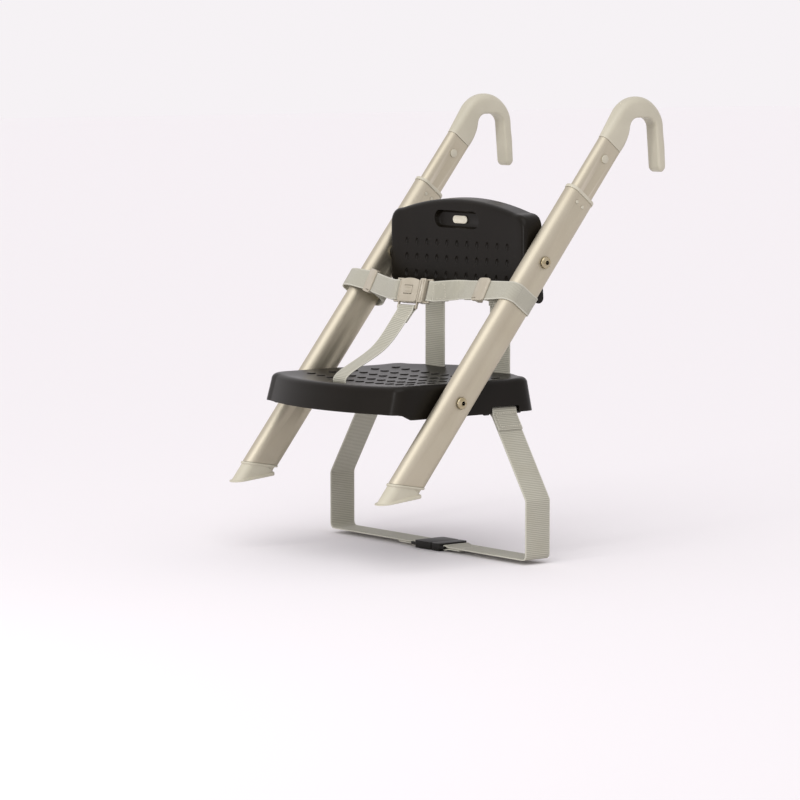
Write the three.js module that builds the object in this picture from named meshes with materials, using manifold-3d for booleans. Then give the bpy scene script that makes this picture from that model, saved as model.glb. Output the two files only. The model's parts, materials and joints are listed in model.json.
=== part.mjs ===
// A child's portable booster seat. Two sloping telescopic legs stand on their feet, end in
// hooks at the top, and carry a seat pan and a backrest between them.
// Millimetres, +Z up, +Y towards the back. The origin is on the plane that the feet stand on,
// midway between their toes.
import * as THREE from 'three';
import { mergeVertices } from 'three/addons/utils/BufferGeometryUtils.js';
import Module from 'manifold-3d';

const wasm = await Module();
wasm.setup();

// Clearances
const clearance = 0.3; // between pieces that touch
const overrun = 6; // how far a cut runs past what it cuts

// The legs' line
const legAngle = 51.3; // degrees above the plane that the feet stand on
const legHalfTrack = 145; // middle of the object to a leg's centre plane
const legFootY = 25.4; // where a leg's centre line meets that plane

// Stations along a leg's centre line, from the plane that the feet stand on
const ringStation = 25.8; // the foot's ring
const seatPivotStation = 145.1;
const backPivotStation = 351.5;
const collarStation = 453.5; // top of the collar
const hookStation = 528.3; // the seam between the upper tube and the hook
const lapStation = 296; // where the lap belt goes round the legs

// Lower tube, an aluminium section with round edges
const tubeDepth = 43;
const tubeWidth = 21.5;
const tubeWall = 1.5;

// Upper tube, which slides in the lower one
const innerWall = 1.3;
const innerTailLength = 66.5; // how far it reaches below the back pivot
const slideOut = 35; // travel upwards from rest
const slideIn = 47; // travel downwards from rest

// Foot
const ringSlope = 10; // degrees that the ring falls towards the heel
const ringThickness = 2.5;
const ringProud = 1.2;
const footInset = 0.6; // the foot's body inside the tube's outline
const spigotLength = 32;
const soleSlope = 5.3; // degrees that the sole rises towards the heel
const soleStartY = 1.5; // where the sole touches down
const soleToe = 4; // the toe in front of that line
const soleLength = 56.6; // that line to the heel
const soleWidth = 24.5;
const soleHeelThickness = 4.6;
const soleToeThickness = 1;
const soleHeelRadius = 6;
const soleToeRadius = 14;

// Collar between the tubes
const collarFlange = 4;
const collarProud = 0.8;
const collarSideWall = 1.15; // the sleeve's wall beside the upper tube
const collarEndWall = 1.9; // the sleeve's wall in front of and behind it
const collarSleeve = 34;
const collarLugRadius = 2.2;
const collarLugSpacing = 11;
const collarLugDrop = 11; // below the lower tube's end
const collarLugProud = 0.5;

// The upper tube's section fits the collar's bore
const innerWidth = tubeWidth - 2 * (tubeWall + collarSideWall + 2 * clearance);
const innerDepth = tubeDepth - 2 * (tubeWall + collarEndWall + 2 * clearance);

// Guide shoe at the upper tube's lower end
const shoeLength = 9;
const shoeSpigot = 15;

// Hook at the top of a leg
const hookSpigot = 32;
const hookLugRadius = 5.2;
const hookLugDrop = 21.3; // below the seam
const hookLugProud = 0.9;
const hookThroatAhead = 25.1; // seam's centre to the throat's front face
const hookThroat = 43.2; // front to rear inside
const hookCrownRise = 32.5; // seam's centre to the throat's flat top
const hookCrownThickness = 25.7;
const hookInnerRadius = 14;
const hookOuterRadius = 41;
const hookOuterAhead = 16.2; // throat's front face to the outer arc's centre
const hookWidth = 21;
const hookSeamProud = 0.5;
const hookTailDrop = 66.8; // the flat to the tail's tip
const hookTailOuterLean = 2.9;
const hookTailInnerLean = 4;
const hookTipRadius = 7;
const hookNeckLead = 10; // how long the neck keeps the leg's direction
const hookRoundOuter = 9;
const hookRoundInner = 3;
const hookArchSteps = 10;
const hookNeckSteps = 4;
const hookTailShares = [0.35, 0.7];
const hookTailTopShare = 0.2; // of the crown's thickness and outer radius, behind the throat
const hookTipAngles = [0, 35, 60, 80];
const cornerSteps = 3; // steps in each rounded corner of a section
const cornerSweep = 89; // degrees of each corner's arc, short of meeting the next

// Pivot bolts with domed heads, their nuts and washers
const boltRadius = 4;
const boltHeadRadius = 7.2;
const boltHeadHeight = 3.8;
const boltHeadEdge = 1;
const boltSocketRadius = 2.9;
const boltSocketDepth = 2.2;
const boltTail = 0.6; // thread beyond the nut
const nutAcross = 13;
const nutHeight = 6.5;
const washerRadius = 9;
const panelGap = 2.25; // leg's inner face to a panel's side

// Seat pan
const seatWall = 3;
const seatFrontReach = 104; // pivot to the front edge
const seatBehindStraps = 27.55; // the suspension straps to the rear edge
const seatTopRise = 21.8; // pivot to the top's border
const seatSkirtDrop = 18.7; // pivot to the side skirt's edge
const seatFrontLift = 6.5; // the front edge above the side skirt's
const seatShoulder = 8;
const seatSideDraft = 1.5;
const seatEndDraft = 8;
const seatDish = 6;
const seatRearRise = 6;
const seatFrontCorner = 46; // front edge to where the side runs straight
const seatFrontCornerWidth = 20;
const seatRearCorner = 46;
const seatRearCornerWidth = 18;
const seatFrontBow = 21;
const seatRearBow = 24.5;
const seatLiftStart = 31; // from the front edge, where the hem starts to drop
const seatLiftRun = 17;
const seatRibX = 46;
const seatRibHeight = 14;
const seatOutlineSteps = 42;
const seatInnerShares = [0.72, 0.36];
const ribWall = 3;
const ribSpacing = 62;
const bossRadius = 12;
const bossHeight = 3.8;
const bossSeat = 0.8; // how far a boss runs into its wall

// Bars under the seat, for the lower straps
const barRadius = 2.5;
const barRise = 3.2; // the bar's middle above the side skirt's edge
const barInset = 7; // the bar's middle inside the seat's side
const barLugHeight = 11;
const barLugThickness = 7;
const notchHeight = 8;

// Backrest
const backWall = 3;
const backFrontReach = 12.2; // pivot to the front face
const backDepth = 27; // the shell, front to rear
const backTopRise = 72.2; // pivot to the top of the arch
const backBottomDrop = 37.3; // pivot to the lower edge
const backArch = 15; // how much the top bows upwards
const backCornerWidth = 20;
const backCornerHeight = 20;
const backBottomCorner = 8;
const backShoulder = 7;
const backDraft = 1;
const backDish = 3;
const backOutlineSteps = 40;
const backInnerShares = [0.7, 0.35];
const backRibTop = 46;
const backRibDepth = 25;
const lugDrop = 51; // pivot to the bottom of the side lug
const lugReach = 18.5; // pivot to the back of the side lug
const lugRadius = 7;
const recessHalfWidth = 41;
const recessHeight = 18;
const recessDrop = 26.5; // top of the arch to the recess's middle
const recessDepth = 6.5;
const plateWidth = 27;
const plateHeight = 9.5;
const plateThickness = 1.2;

// Webbing
const wideWebbing = 38;
const narrowWebbing = 25;
const webbing = 1.4; // thickness
const plyGap = 0.5; // between two plies
const eyeNeckShare = 2.2; // of a sewn eye's radius, from its bar to where the plies meet

// Suspension straps, from the backrest down to the seat
const suspensionX = 63;
const suspensionBehind = 6.4; // behind the back pivot
const suspensionRodDrop = 19; // the upper rods below the back pivot
const rodRadius = 2.2;
const rodOverhang = 2.5; // rod beyond the strap's slot at each end
const strapSlotMargin = 1; // slot beyond the strap at each end
const strapSlotWidth = 4.6;
const suspensionPly = 36; // length of the sewn end below the upper rod
const seatPly = 3; // length of the sewn ends in the seat's slots

// Buckle of the lap belt, in its own leaning frame: its thickness runs from front to back
const buckleX = 5;
const buckleOffset = -43;
const buckleStation = 268.5;
const buckleLean = 19; // degrees that its top leans back
const buckleYaw = 12; // degrees that its right end turns back
const buckleLength = 30;
const buckleHeight = 30;
const buckleThickness = 11;
const buckleWall = 1.8;
const buckleCorner = 4;
const buckleBow = 1.5; // how much the upper edge bows
const webBarRadius = 1.8; // bars that the webbing is sewn round
const webBarSlot = 4.2; // opening between a bar and its buckle
const webMargin = 0.5; // opening beyond the webbing's edges
const webArm = 2;
const plugBody = 9;
const tongueLength = 20;
const tongueHeight = 20;
const tongueThickness = 3.4;
const tongueTaper = 3;
const buttonWidth = 12;
const buttonHeight = 11;
const buttonProud = 0.6;
const buttonTravel = 1.2;
const buttonFlange = 1.2;
const buttonGroove = 1.1;
const buttonGrooveSpacing = 5;
const lapPly = 18; // length of the belt's sewn ends at the buckle

// Sliders on the lap belt
const sliderPlaceShare = 0.737; // of the belt's straight stretch, from its inner end
const sliderLength = 18;
const sliderHeight = 30;
const sliderFront = 2;
const sliderRear = 1.6;
const sliderRearLength = 9;
const sliderCorner = 3;
const sliderRib = 1.2;

// Lap belt's route. Places across are shares of the legs' half track. Places in front of the
// legs' centre line, and along it from the lap belt's station, are shares of half a tube's depth.
const lapLeftStartShares = [0.379, -1.82, -1.04, 21];
const lapLeftStraightShares = [[0.524, -1.56, -0.76, 24], [0.803, -1.065, -0.21, 24]];
const lapLeftLoopShares = [
  [0.9, -1.1, -0.18, 31],
  [1, -1.18, -0.15, 36],
  [1.12, -1.02, -0.06, 37],
  [1.205, -0.6, 0.05, 36],
  [1.23, -0.1, 0.12, 35],
  [1.2, 0.5, 0.16, 36],
  [1.12, 0.98, 0.1, 37],
  [1.03, 1.14, 0.06, 38],
  [0.93, 1.08, 0.05, 38],
  [0.85, 0.78, 0.07, 36],
  [0.828, 0.2, 0.06, 31],
  [0.822, -0.4, -0.02, 27],
];
const lapRightStartShares = [0.414, -0.94, -0.28, 22];
const lapRightStraightShares = [[0.524, -1, -0.28, 28], [0.807, -1.14, -0.28, 28]];
const lapRightFrontRise = -0.1; // share of half a tube's depth, at the leg's front
const lapRightRearRise = 0.33;
const lapRightReturnShares = [[0.868, -0.1, 0.2, 33], [0.824, -0.72, -0.1, 30]];
const lapLean = 38.7; // degrees that the belt leans where it lies on a leg
const lapSnugStart = -85; // degrees round the leg where the snug loop starts
const lapSnugEnd = 156; // and ends
const lapStraightSteps = 3;
const lapLoopSteps = 2;

// Crotch strap
const crotchSlotReach = 42; // front edge of the seat to the slot
const crotchPly = 18;
const crotchMiddleShares = [0.5, 0.6, 0.49]; // from its slot to the buckle: across, back and up
const crotchRise = 9; // how far it leaves its slot upwards

// Lower straps, from the seat's bars down and in underneath, and the buckle between them
const chairStrapX = 191;
const chairStrapY = 204.5;
const chairStrapTurn = 6;
const chairStrapDepth = 76.5;
const chairStrapShoulder = 5; // where it turns down, below the feet's plane
const chairPly = 24;
const chairBuckleLength = 32;
const chairBuckleWidth = 46;
const chairBuckleThickness = 9;
const chairPlugBody = 16;
const chairProngLength = 22;
const chairProngWidth = 30;
const chairProngThickness = 4;
const chairProngArm = 6;

const curveSteps = 4; // steps in a quarter of a round edge
const roundSides = 16;
const hexSides = 6;
const radians = THREE.MathUtils.degToRad;

// Colours and finishes
const finish = {
  aluminium: { color: 0xc9c0ac, roughness: 0.38, metalness: 0.9 },
  greyPlastic: { color: 0xc4c3b3, roughness: 0.5, metalness: 0 },
  blackPlastic: { color: 0x2b2723, roughness: 0.45, metalness: 0 },
  zinc: { color: 0xb8a880, roughness: 0.3, metalness: 1 },
  nylon: { color: 0xe6e3da, roughness: 0.5, metalness: 0 },
  webbing: { color: 0xc1bcaa, roughness: 0.9, metalness: 0 },
};

// The leg's directions: up along the tube, and square to it towards the back
const legUp = new THREE.Vector3(0, Math.cos(radians(legAngle)), Math.sin(radians(legAngle)));
const legBack = new THREE.Vector3(0, legUp.z, -legUp.y);
const legTilt = radians(legAngle) - Math.PI / 2;

// A place given by its side, its offset square to the leg and its station along it
function legPoint(x, offset, station) {
  return new THREE.Vector3(x, legFootY, 0)
    .addScaledVector(legBack, offset)
    .addScaledVector(legUp, station);
}

const legFrame = new THREE.Matrix4()
  .makeRotationX(legTilt)
  .setPosition(0, legFootY, 0);

// Turns a closed geometry into a solid that can be cut and joined
function solidOf(geometry) {
  const bare = geometry.clone();
  bare.deleteAttribute('normal');
  bare.deleteAttribute('uv');
  const merged = mergeVertices(bare);
  return new wasm.Manifold(new wasm.Mesh({
    numProp: 3,
    vertProperties: new Float32Array(merged.attributes.position.array),
    triVerts: new Uint32Array(merged.index.array),
  }));
}

function geometryOf(solid) {
  const mesh = solid.getMesh();
  const geometry = new THREE.BufferGeometry();
  geometry.setAttribute('position', new THREE.BufferAttribute(mesh.vertProperties, 3));
  geometry.setIndex(new THREE.BufferAttribute(mesh.triVerts, 1));
  return geometry;
}

function placed(solid, matrix) {
  return solid.transform(matrix.elements);
}

function joined(...solids) {
  return solids.reduce((sum, solid) => sum.add(solid));
}

function cut(solid, ...tools) {
  return tools.reduce((rest, tool) => rest.subtract(tool), solid);
}

function block(sizeX, sizeY, sizeZ, x = 0, y = 0, z = 0) {
  return solidOf(new THREE.BoxGeometry(sizeX, sizeY, sizeZ).translate(x, y, z));
}

// A round bar along X, from one side place to another
function barX(radius, from, to, y = 0, z = 0, sides = roundSides) {
  const geometry = new THREE.CylinderGeometry(radius, radius, Math.abs(to - from), sides);
  geometry.rotateZ(Math.PI / 2);
  geometry.translate((from + to) / 2, y, z);
  return solidOf(geometry);
}

function barY(radius, from, to, x = 0, z = 0) {
  const geometry = new THREE.CylinderGeometry(radius, radius, Math.abs(to - from), roundSides);
  geometry.translate(x, (from + to) / 2, z);
  return solidOf(geometry);
}

// The tubes' section, flat at the sides and round at the front and back
function stadium(width, depth) {
  const radius = width / 2;
  const straight = depth / 2 - radius;
  const shape = new THREE.Shape();
  shape.absarc(0, straight, radius, 0, Math.PI, false);
  shape.absarc(0, -straight, radius, Math.PI, 2 * Math.PI, false);
  return shape;
}

function prism(shape, height, z = 0) {
  const geometry = new THREE.ExtrudeGeometry(shape, {
    depth: height,
    bevelEnabled: false,
    curveSegments: curveSteps * 2,
  });
  return solidOf(geometry.translate(0, 0, z));
}

// A profile drawn towards the back and up, given a width across
function sideProfile(shape, width, x = 0) {
  const geometry = new THREE.ExtrudeGeometry(shape, {
    depth: width,
    bevelEnabled: false,
    curveSegments: curveSteps,
  });
  geometry.translate(0, 0, -width / 2);
  geometry.applyMatrix4(new THREE.Matrix4().makeBasis(
    new THREE.Vector3(0, 1, 0),
    new THREE.Vector3(0, 0, 1),
    new THREE.Vector3(1, 0, 0),
  ));
  return solidOf(geometry.translate(x, 0, 0));
}

function signedVolume(positions, index) {
  const a = new THREE.Vector3();
  const b = new THREE.Vector3();
  const c = new THREE.Vector3();
  let volume = 0;
  for (let i = 0; i < index.length; i += 3) {
    a.fromArray(positions, 3 * index[i]);
    b.fromArray(positions, 3 * index[i + 1]);
    c.fromArray(positions, 3 * index[i + 2]);
    volume += a.dot(b.cross(c));
  }
  return volume;
}

// A skin over a row of rings with equal counts of points, closed by a tip at each end.
// Without a tip the end is a fan over its ring.
function loft(rings, startTip = null, endTip = null) {
  const count = rings[0].length;
  const positions = rings.flat().flatMap((p) => [p.x, p.y, p.z]);
  const index = [];
  for (let r = 0; r + 1 < rings.length; r += 1) {
    for (let i = 0; i < count; i += 1) {
      const next = (i + 1) % count;
      const a = r * count + i;
      const b = r * count + next;
      index.push(a, b, b + count, a, b + count, a + count);
    }
  }
  const close = (ring, tip, turn) => {
    const first = ring * count;
    if (tip) {
      const top = positions.length / 3;
      positions.push(tip.x, tip.y, tip.z);
      for (let i = 0; i < count; i += 1) {
        const pair = [first + i, first + ((i + 1) % count)];
        index.push(top, pair[turn ? 1 : 0], pair[turn ? 0 : 1]);
      }
      return;
    }
    for (let i = 1; i + 1 < count; i += 1) {
      const pair = [first + i, first + i + 1];
      index.push(first, pair[turn ? 1 : 0], pair[turn ? 0 : 1]);
    }
  };
  close(0, startTip, true);
  close(rings.length - 1, endTip, false);
  if (signedVolume(positions, index) < 0) index.reverse();
  const geometry = new THREE.BufferGeometry();
  geometry.setAttribute('position', new THREE.Float32BufferAttribute(positions, 3));
  geometry.setIndex(index);
  return solidOf(geometry);
}

// A strap of flat webbing: each place has its point and the direction of its width
function strap(places, width, thickness = webbing) {
  const rings = places.map((place, i) => {
    const before = places[Math.max(i - 1, 0)].point;
    const after = places[Math.min(i + 1, places.length - 1)].point;
    const along = after.clone().sub(before).normalize();
    const across = place.across.clone().addScaledVector(along, -place.across.dot(along));
    across.normalize();
    const normal = along.clone().cross(across);
    const corner = (u, v) => place.point.clone()
      .addScaledVector(across, (u * width) / 2)
      .addScaledVector(normal, (v * thickness) / 2);
    return [corner(-1, -1), corner(1, -1), corner(1, 1), corner(-1, 1)];
  });
  return loft(rings);
}

// The same strap's places on a smooth curve through chosen ones
function smoothPlaces(places, stepsBetween) {
  const points = new THREE.CatmullRomCurve3(places.map((p) => p.point), false, 'centripetal');
  const acrosses = new THREE.CatmullRomCurve3(places.map((p) => p.across));
  const steps = (places.length - 1) * stepsBetween;
  return Array.from({ length: steps + 1 }, (_, i) => ({
    point: points.getPoint(i / steps),
    across: acrosses.getPoint(i / steps),
  }));
}

// A strap's sewn eye round a bar. Its places run from the sewn end, round the bar and on to
// where the strap leaves, along one direction and with the strap on one side of it.
function eye(bar, radius, ply, along, side, across) {
  const round = radius + clearance + webbing / 2;
  const half = (webbing + plyGap) / 2;
  const neck = eyeNeckShare * round;
  const open = THREE.MathUtils.radToDeg(
    Math.acos(round / Math.hypot(neck, half)) + Math.atan2(half, neck),
  );
  const turn = arc(0, 0, round, 360 - open, open, 2 * curveSteps);
  return [[neck + ply, -half], [neck, -half], ...turn, [neck, half]].map(([u, v]) => ({
    point: bar.clone().addScaledVector(along, u).addScaledVector(side, v),
    across,
  }));
}

// A profile drawn across and up, given a depth from front to back
function slab(shape, front, rear) {
  const geometry = new THREE.ExtrudeGeometry(shape, {
    depth: rear - front,
    bevelEnabled: false,
    curveSegments: curveSteps,
  });
  geometry.rotateX(Math.PI / 2);
  return solidOf(geometry.translate(0, rear, 0));
}

function roundedRect(width, height, radius, bow = 0) {
  const x = width / 2;
  const y = height / 2;
  const shape = new THREE.Shape();
  shape.absarc(x - radius, radius - y, radius, -Math.PI / 2, 0, false);
  shape.absarc(x - radius, y - radius, radius, 0, Math.PI / 2, false);
  shape.quadraticCurveTo(0, y + 2 * bow, radius - x, y);
  shape.absarc(radius - x, y - radius, radius, Math.PI / 2, Math.PI, false);
  shape.absarc(radius - x, radius - y, radius, Math.PI, (3 * Math.PI) / 2, false);
  shape.closePath();
  return shape;
}

// Points on an arc, from one angle to another, in degrees
function arc(u, v, radius, from, to, steps = curveSteps) {
  return Array.from({ length: steps + 1 }, (_, i) => {
    const angle = radians(from + ((to - from) * i) / steps);
    return [u + radius * Math.cos(angle), v + radius * Math.sin(angle)];
  });
}

const scene = new THREE.Group();

function addMesh(parent, name, solid, look) {
  const material = new THREE.MeshStandardMaterial({ ...look, flatShading: true });
  const mesh = new THREE.Mesh(geometryOf(solid), material);
  mesh.name = name;
  parent.add(mesh);
  return mesh;
}

const seatPivot = legPoint(0, 0, seatPivotStation);
const backPivot = legPoint(0, 0, backPivotStation);
const panelHalf = legHalfTrack - tubeWidth / 2 - panelGap;
const boltHole = boltRadius + clearance;
const collarBase = collarStation - collarFlange;

// Lower tube: cut to the foot's ring, drilled for both pivots and the collar's lugs
function lowerTube() {
  const outer = prism(stadium(tubeWidth, tubeDepth), collarBase - clearance);
  const bore = prism(
    stadium(tubeWidth - 2 * tubeWall, tubeDepth - 2 * tubeWall),
    collarStation + overrun,
    -overrun,
  );
  const reach = tubeDepth + overrun;
  const below = new THREE.BoxGeometry(reach, 2 * reach, reach);
  below.translate(0, 0, clearance - reach / 2);
  below.rotateX(radians(90 - legAngle - ringSlope));
  below.translate(0, 0, ringStation);
  const holes = [seatPivotStation, backPivotStation].map(
    (station) => barX(boltHole, -tubeWidth, tubeWidth, 0, station),
  );
  const lugHoles = collarLugs(tubeWidth, collarLugRadius + clearance);
  return cut(outer, bore, solidOf(below), ...holes, ...lugHoles);
}

function collarLugs(halfLength, radius) {
  const station = collarBase - collarLugDrop;
  return [-1, 1].map((side) => barX(
    radius,
    -halfLength,
    halfLength,
    (side * collarLugSpacing) / 2,
    station,
    roundSides / 2,
  ));
}

// Collar: a sleeve in the lower tube with a flange on its end, bored for the upper tube
function collar() {
  const sleeveWidth = tubeWidth - 2 * tubeWall - 2 * clearance;
  const sleeveDepth = tubeDepth - 2 * tubeWall - 2 * clearance;
  const sleeve = prism(stadium(sleeveWidth, sleeveDepth), collarSleeve, collarBase - collarSleeve);
  const flange = prism(
    stadium(tubeWidth + 2 * collarProud, tubeDepth + 2 * collarProud),
    collarFlange,
    collarBase,
  );
  const bore = prism(
    stadium(innerWidth + 2 * clearance, innerDepth + 2 * clearance),
    collarStation,
    overrun,
  );
  const lugs = collarLugs(tubeWidth / 2 + collarLugProud, collarLugRadius);
  return cut(joined(sleeve, flange, ...lugs), bore);
}

const innerBase = backPivotStation - innerTailLength;

// Upper tube: slotted on both sides, so that it slides past the back pivot's bolts
function upperTube() {
  const length = hookStation - innerBase;
  const outer = prism(stadium(innerWidth, innerDepth), length, innerBase);
  const bore = prism(
    stadium(innerWidth - 2 * innerWall, innerDepth - 2 * innerWall),
    length + 2 * overrun,
    innerBase - overrun,
  );
  const slotLow = backPivotStation - slideOut;
  const slotHigh = backPivotStation + slideIn;
  const slot = joined(
    block(2 * innerWidth, 2 * boltHole, slotHigh - slotLow, 0, 0, (slotLow + slotHigh) / 2),
    barX(boltHole, -innerWidth, innerWidth, 0, slotLow),
    barX(boltHole, -innerWidth, innerWidth, 0, slotHigh),
  );
  const lugHole = barX(hookLugRadius + clearance, -innerWidth, innerWidth, 0, hookStation - hookLugDrop);
  return cut(outer, bore, slot, lugHole);
}

function innerSpigot(length, z) {
  const inset = 2 * innerWall + 2 * clearance;
  return prism(stadium(innerWidth - inset, innerDepth - inset), length, z);
}

// Guide shoe: plugs the upper tube's end and slides in the lower tube
function guideShoe() {
  const inset = 2 * tubeWall + 2 * clearance;
  const top = innerBase - clearance;
  return joined(
    prism(stadium(tubeWidth - inset, tubeDepth - inset), shoeLength, top - shoeLength),
    innerSpigot(shoeSpigot + shoeLength / 2, top - shoeLength / 2),
  );
}

// Foot: a slanted shoe with a flared sole, a ring against the tube and a spigot inside it
function foot() {
  const reach = tubeDepth + overrun;
  const bodyInset = 2 * footInset;
  const body = prism(
    stadium(tubeWidth - bodyInset, tubeDepth - bodyInset),
    2 * reach,
    ringStation - 2 * reach,
  );
  const ringTurn = radians(90 - legAngle - ringSlope);
  const above = new THREE.BoxGeometry(reach, 2 * reach, 2 * reach);
  above.translate(0, 0, reach - ringThickness / 2);
  above.rotateX(ringTurn);
  above.translate(0, 0, ringStation);
  const band = new THREE.BoxGeometry(reach, 2 * reach, ringThickness);
  band.translate(0, 0, -ringThickness / 2);
  band.rotateX(ringTurn);
  band.translate(0, 0, ringStation);
  const lip = prism(
    stadium(tubeWidth + 2 * ringProud, tubeDepth + 2 * ringProud),
    2 * reach,
    ringStation - reach,
  ).intersect(solidOf(band));
  const inset = 2 * tubeWall + 2 * clearance;
  const spigot = prism(
    stadium(tubeWidth - inset, tubeDepth - inset),
    spigotLength + tubeDepth / 2,
    ringStation - tubeDepth / 2,
  );
  const upper = placed(joined(cut(body, solidOf(above)), lip, spigot), legFrame);

  const soleFrame = new THREE.Matrix4()
    .makeRotationX(radians(soleSlope))
    .setPosition(0, soleStartY, 0);
  const half = soleWidth / 2;
  const plan = new THREE.Shape();
  plan.moveTo(half, soleToeRadius - soleToe);
  plan.lineTo(half, soleLength - soleHeelRadius);
  plan.absarc(half - soleHeelRadius, soleLength - soleHeelRadius, soleHeelRadius, 0, Math.PI / 2);
  plan.absarc(
    soleHeelRadius - half,
    soleLength - soleHeelRadius,
    soleHeelRadius,
    Math.PI / 2,
    Math.PI,
  );
  plan.lineTo(-half, soleToeRadius - soleToe);
  plan.absellipse(0, soleToeRadius - soleToe, half, soleToeRadius, Math.PI, 2 * Math.PI);
  const wedge = new THREE.Shape();
  wedge.moveTo(-soleToe - overrun, 0);
  wedge.lineTo(soleLength + overrun, 0);
  wedge.lineTo(soleLength + overrun, soleHeelThickness);
  wedge.lineTo(-soleToe - overrun, soleToeThickness);
  wedge.closePath();
  const sole = prism(plan, reach).intersect(sideProfile(wedge, 2 * soleWidth));
  const underside = block(2 * reach, 4 * reach, 4 * reach, 0, 0, -2 * reach);
  return joined(cut(upper, placed(underside, soleFrame)), placed(sole, soleFrame));
}

// One section of the hook, from its inner to its outer point, rounded more outside
function hookSection(outer, inner, width, roundOuter, roundInner) {
  const depth = outer.distanceTo(inner);
  const outward = outer.clone().sub(inner).divideScalar(depth);
  const most = Math.min(width, depth) / 2;
  const corners = [
    [1, 1, Math.min(roundOuter, most)],
    [-1, 1, Math.min(roundOuter, most)],
    [-1, -1, Math.min(roundInner, most)],
    [1, -1, Math.min(roundInner, most)],
  ];
  return corners.flatMap(([sideX, sideOut, radius], quarter) => {
    const centreX = sideX * (width / 2 - radius);
    const centreOut = sideOut > 0 ? depth - radius : radius;
    const start = 90 * quarter;
    return arc(centreX, centreOut, radius, start, start + cornerSweep, cornerSteps)
      .map(([x, out]) => new THREE.Vector3(x, 0, 0)
        .add(inner)
        .addScaledVector(outward, out));
  });
}

// Hook: a neck that leaves the leg's line, an arch and a tail behind it
function hook() {
  const seam = legPoint(0, 0, hookStation + clearance);
  const yz = (y, z) => new THREE.Vector3(0, y, z);
  const throatFront = seam.y + hookThroatAhead;
  const flat = seam.z + hookCrownRise;
  const springZ = flat - hookInnerRadius;
  const outerY = throatFront + hookOuterAhead;
  const outerZ = flat + hookCrownThickness - hookOuterRadius;
  const archStart = 90 + legAngle;
  const tailReach = (hookCrownThickness + hookOuterRadius) * hookTailTopShare;
  const tailTopY = throatFront + hookThroat + tailReach;
  const archEnd = THREE.MathUtils.radToDeg(
    Math.acos(Math.min((tailTopY - outerY) / hookOuterRadius, 1)),
  );
  const outerArc = arc(outerY, outerZ, hookOuterRadius, archStart, archEnd, hookArchSteps);
  const innerPath = new THREE.Path();
  innerPath.absarc(throatFront + hookInnerRadius, springZ, hookInnerRadius, Math.PI, Math.PI / 2, true);
  innerPath.absarc(
    throatFront + hookThroat - hookInnerRadius,
    springZ,
    hookInnerRadius,
    Math.PI / 2,
    0,
    true,
  );
  const innerArc = innerPath.getSpacedPoints(hookArchSteps);

  const seamOuter = seam.clone().addScaledVector(legBack, -innerDepth / 2 - hookSeamProud);
  const seamInner = seam.clone().addScaledVector(legBack, innerDepth / 2);
  const neckInner = new THREE.CubicBezierCurve3(
    seamInner,
    seamInner.clone().addScaledVector(legUp, hookNeckLead),
    yz(throatFront, springZ - hookNeckLead),
    yz(throatFront, springZ),
  );
  const neckOuterEnd = yz(...outerArc[0]);
  const sections = [];
  for (let i = 0; i < hookNeckSteps; i += 1) {
    const share = i / hookNeckSteps;
    const width = innerWidth + 2 * hookSeamProud;
    sections.push(hookSection(
      seamOuter.clone().lerp(neckOuterEnd, share),
      neckInner.getPoint(share),
      THREE.MathUtils.lerp(width, hookWidth, share),
      THREE.MathUtils.lerp(width / 2, hookRoundOuter, share),
      THREE.MathUtils.lerp(width / 2, hookRoundInner, share),
    ));
  }
  outerArc.forEach(([y, z], i) => {
    const inner = yz(innerArc[i].x, innerArc[i].y);
    sections.push(hookSection(yz(y, z), inner, hookWidth, hookRoundOuter, hookRoundInner));
  });
  const tailOuterTop = yz(...outerArc[hookArchSteps]);
  const tailInnerTop = yz(throatFront + hookThroat, springZ);
  const tipStart = flat - hookTailDrop + hookTipRadius;
  const tailOuterLow = yz(tailOuterTop.y + hookTailOuterLean, tipStart);
  const tailInnerLow = yz(tailInnerTop.y + hookTailInnerLean, tipStart);
  hookTailShares.forEach((share) => sections.push(hookSection(
    tailOuterTop.clone().lerp(tailOuterLow, share),
    tailInnerTop.clone().lerp(tailInnerLow, share),
    hookWidth,
    hookRoundOuter / 2,
    hookRoundInner,
  )));
  const tipMiddle = tailOuterLow.clone().lerp(tailInnerLow, 1 / 2);
  hookTipAngles.forEach((angle) => {
    const shrink = Math.cos(radians(angle));
    const drop = new THREE.Vector3(0, 0, -hookTipRadius * Math.sin(radians(angle)));
    sections.push(hookSection(
      tipMiddle.clone().lerp(tailOuterLow, shrink).add(drop),
      tipMiddle.clone().lerp(tailInnerLow, shrink).add(drop),
      hookWidth - hookTipRadius * (1 - shrink),
      hookRoundOuter / 2,
      hookRoundInner,
    ));
  });
  const plug = placed(
    joined(
      innerSpigot(hookSpigot + overrun, hookStation - hookSpigot),
      barX(
        hookLugRadius,
        -innerWidth / 2 - hookLugProud,
        innerWidth / 2 + hookLugProud,
        0,
        hookStation - hookLugDrop,
      ),
    ),
    legFrame,
  );
  return joined(loft(sections), plug);
}

// Pivot bolt: a domed head outside the leg, a shank through it and the panel's wall
const shankStart = legHalfTrack + tubeWidth / 2 + clearance;
const wallInside = panelHalf - seatWall - bossHeight;
const nutStart = wallInside - clearance;
const shankEnd = nutStart - nutHeight - boltTail;

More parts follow.
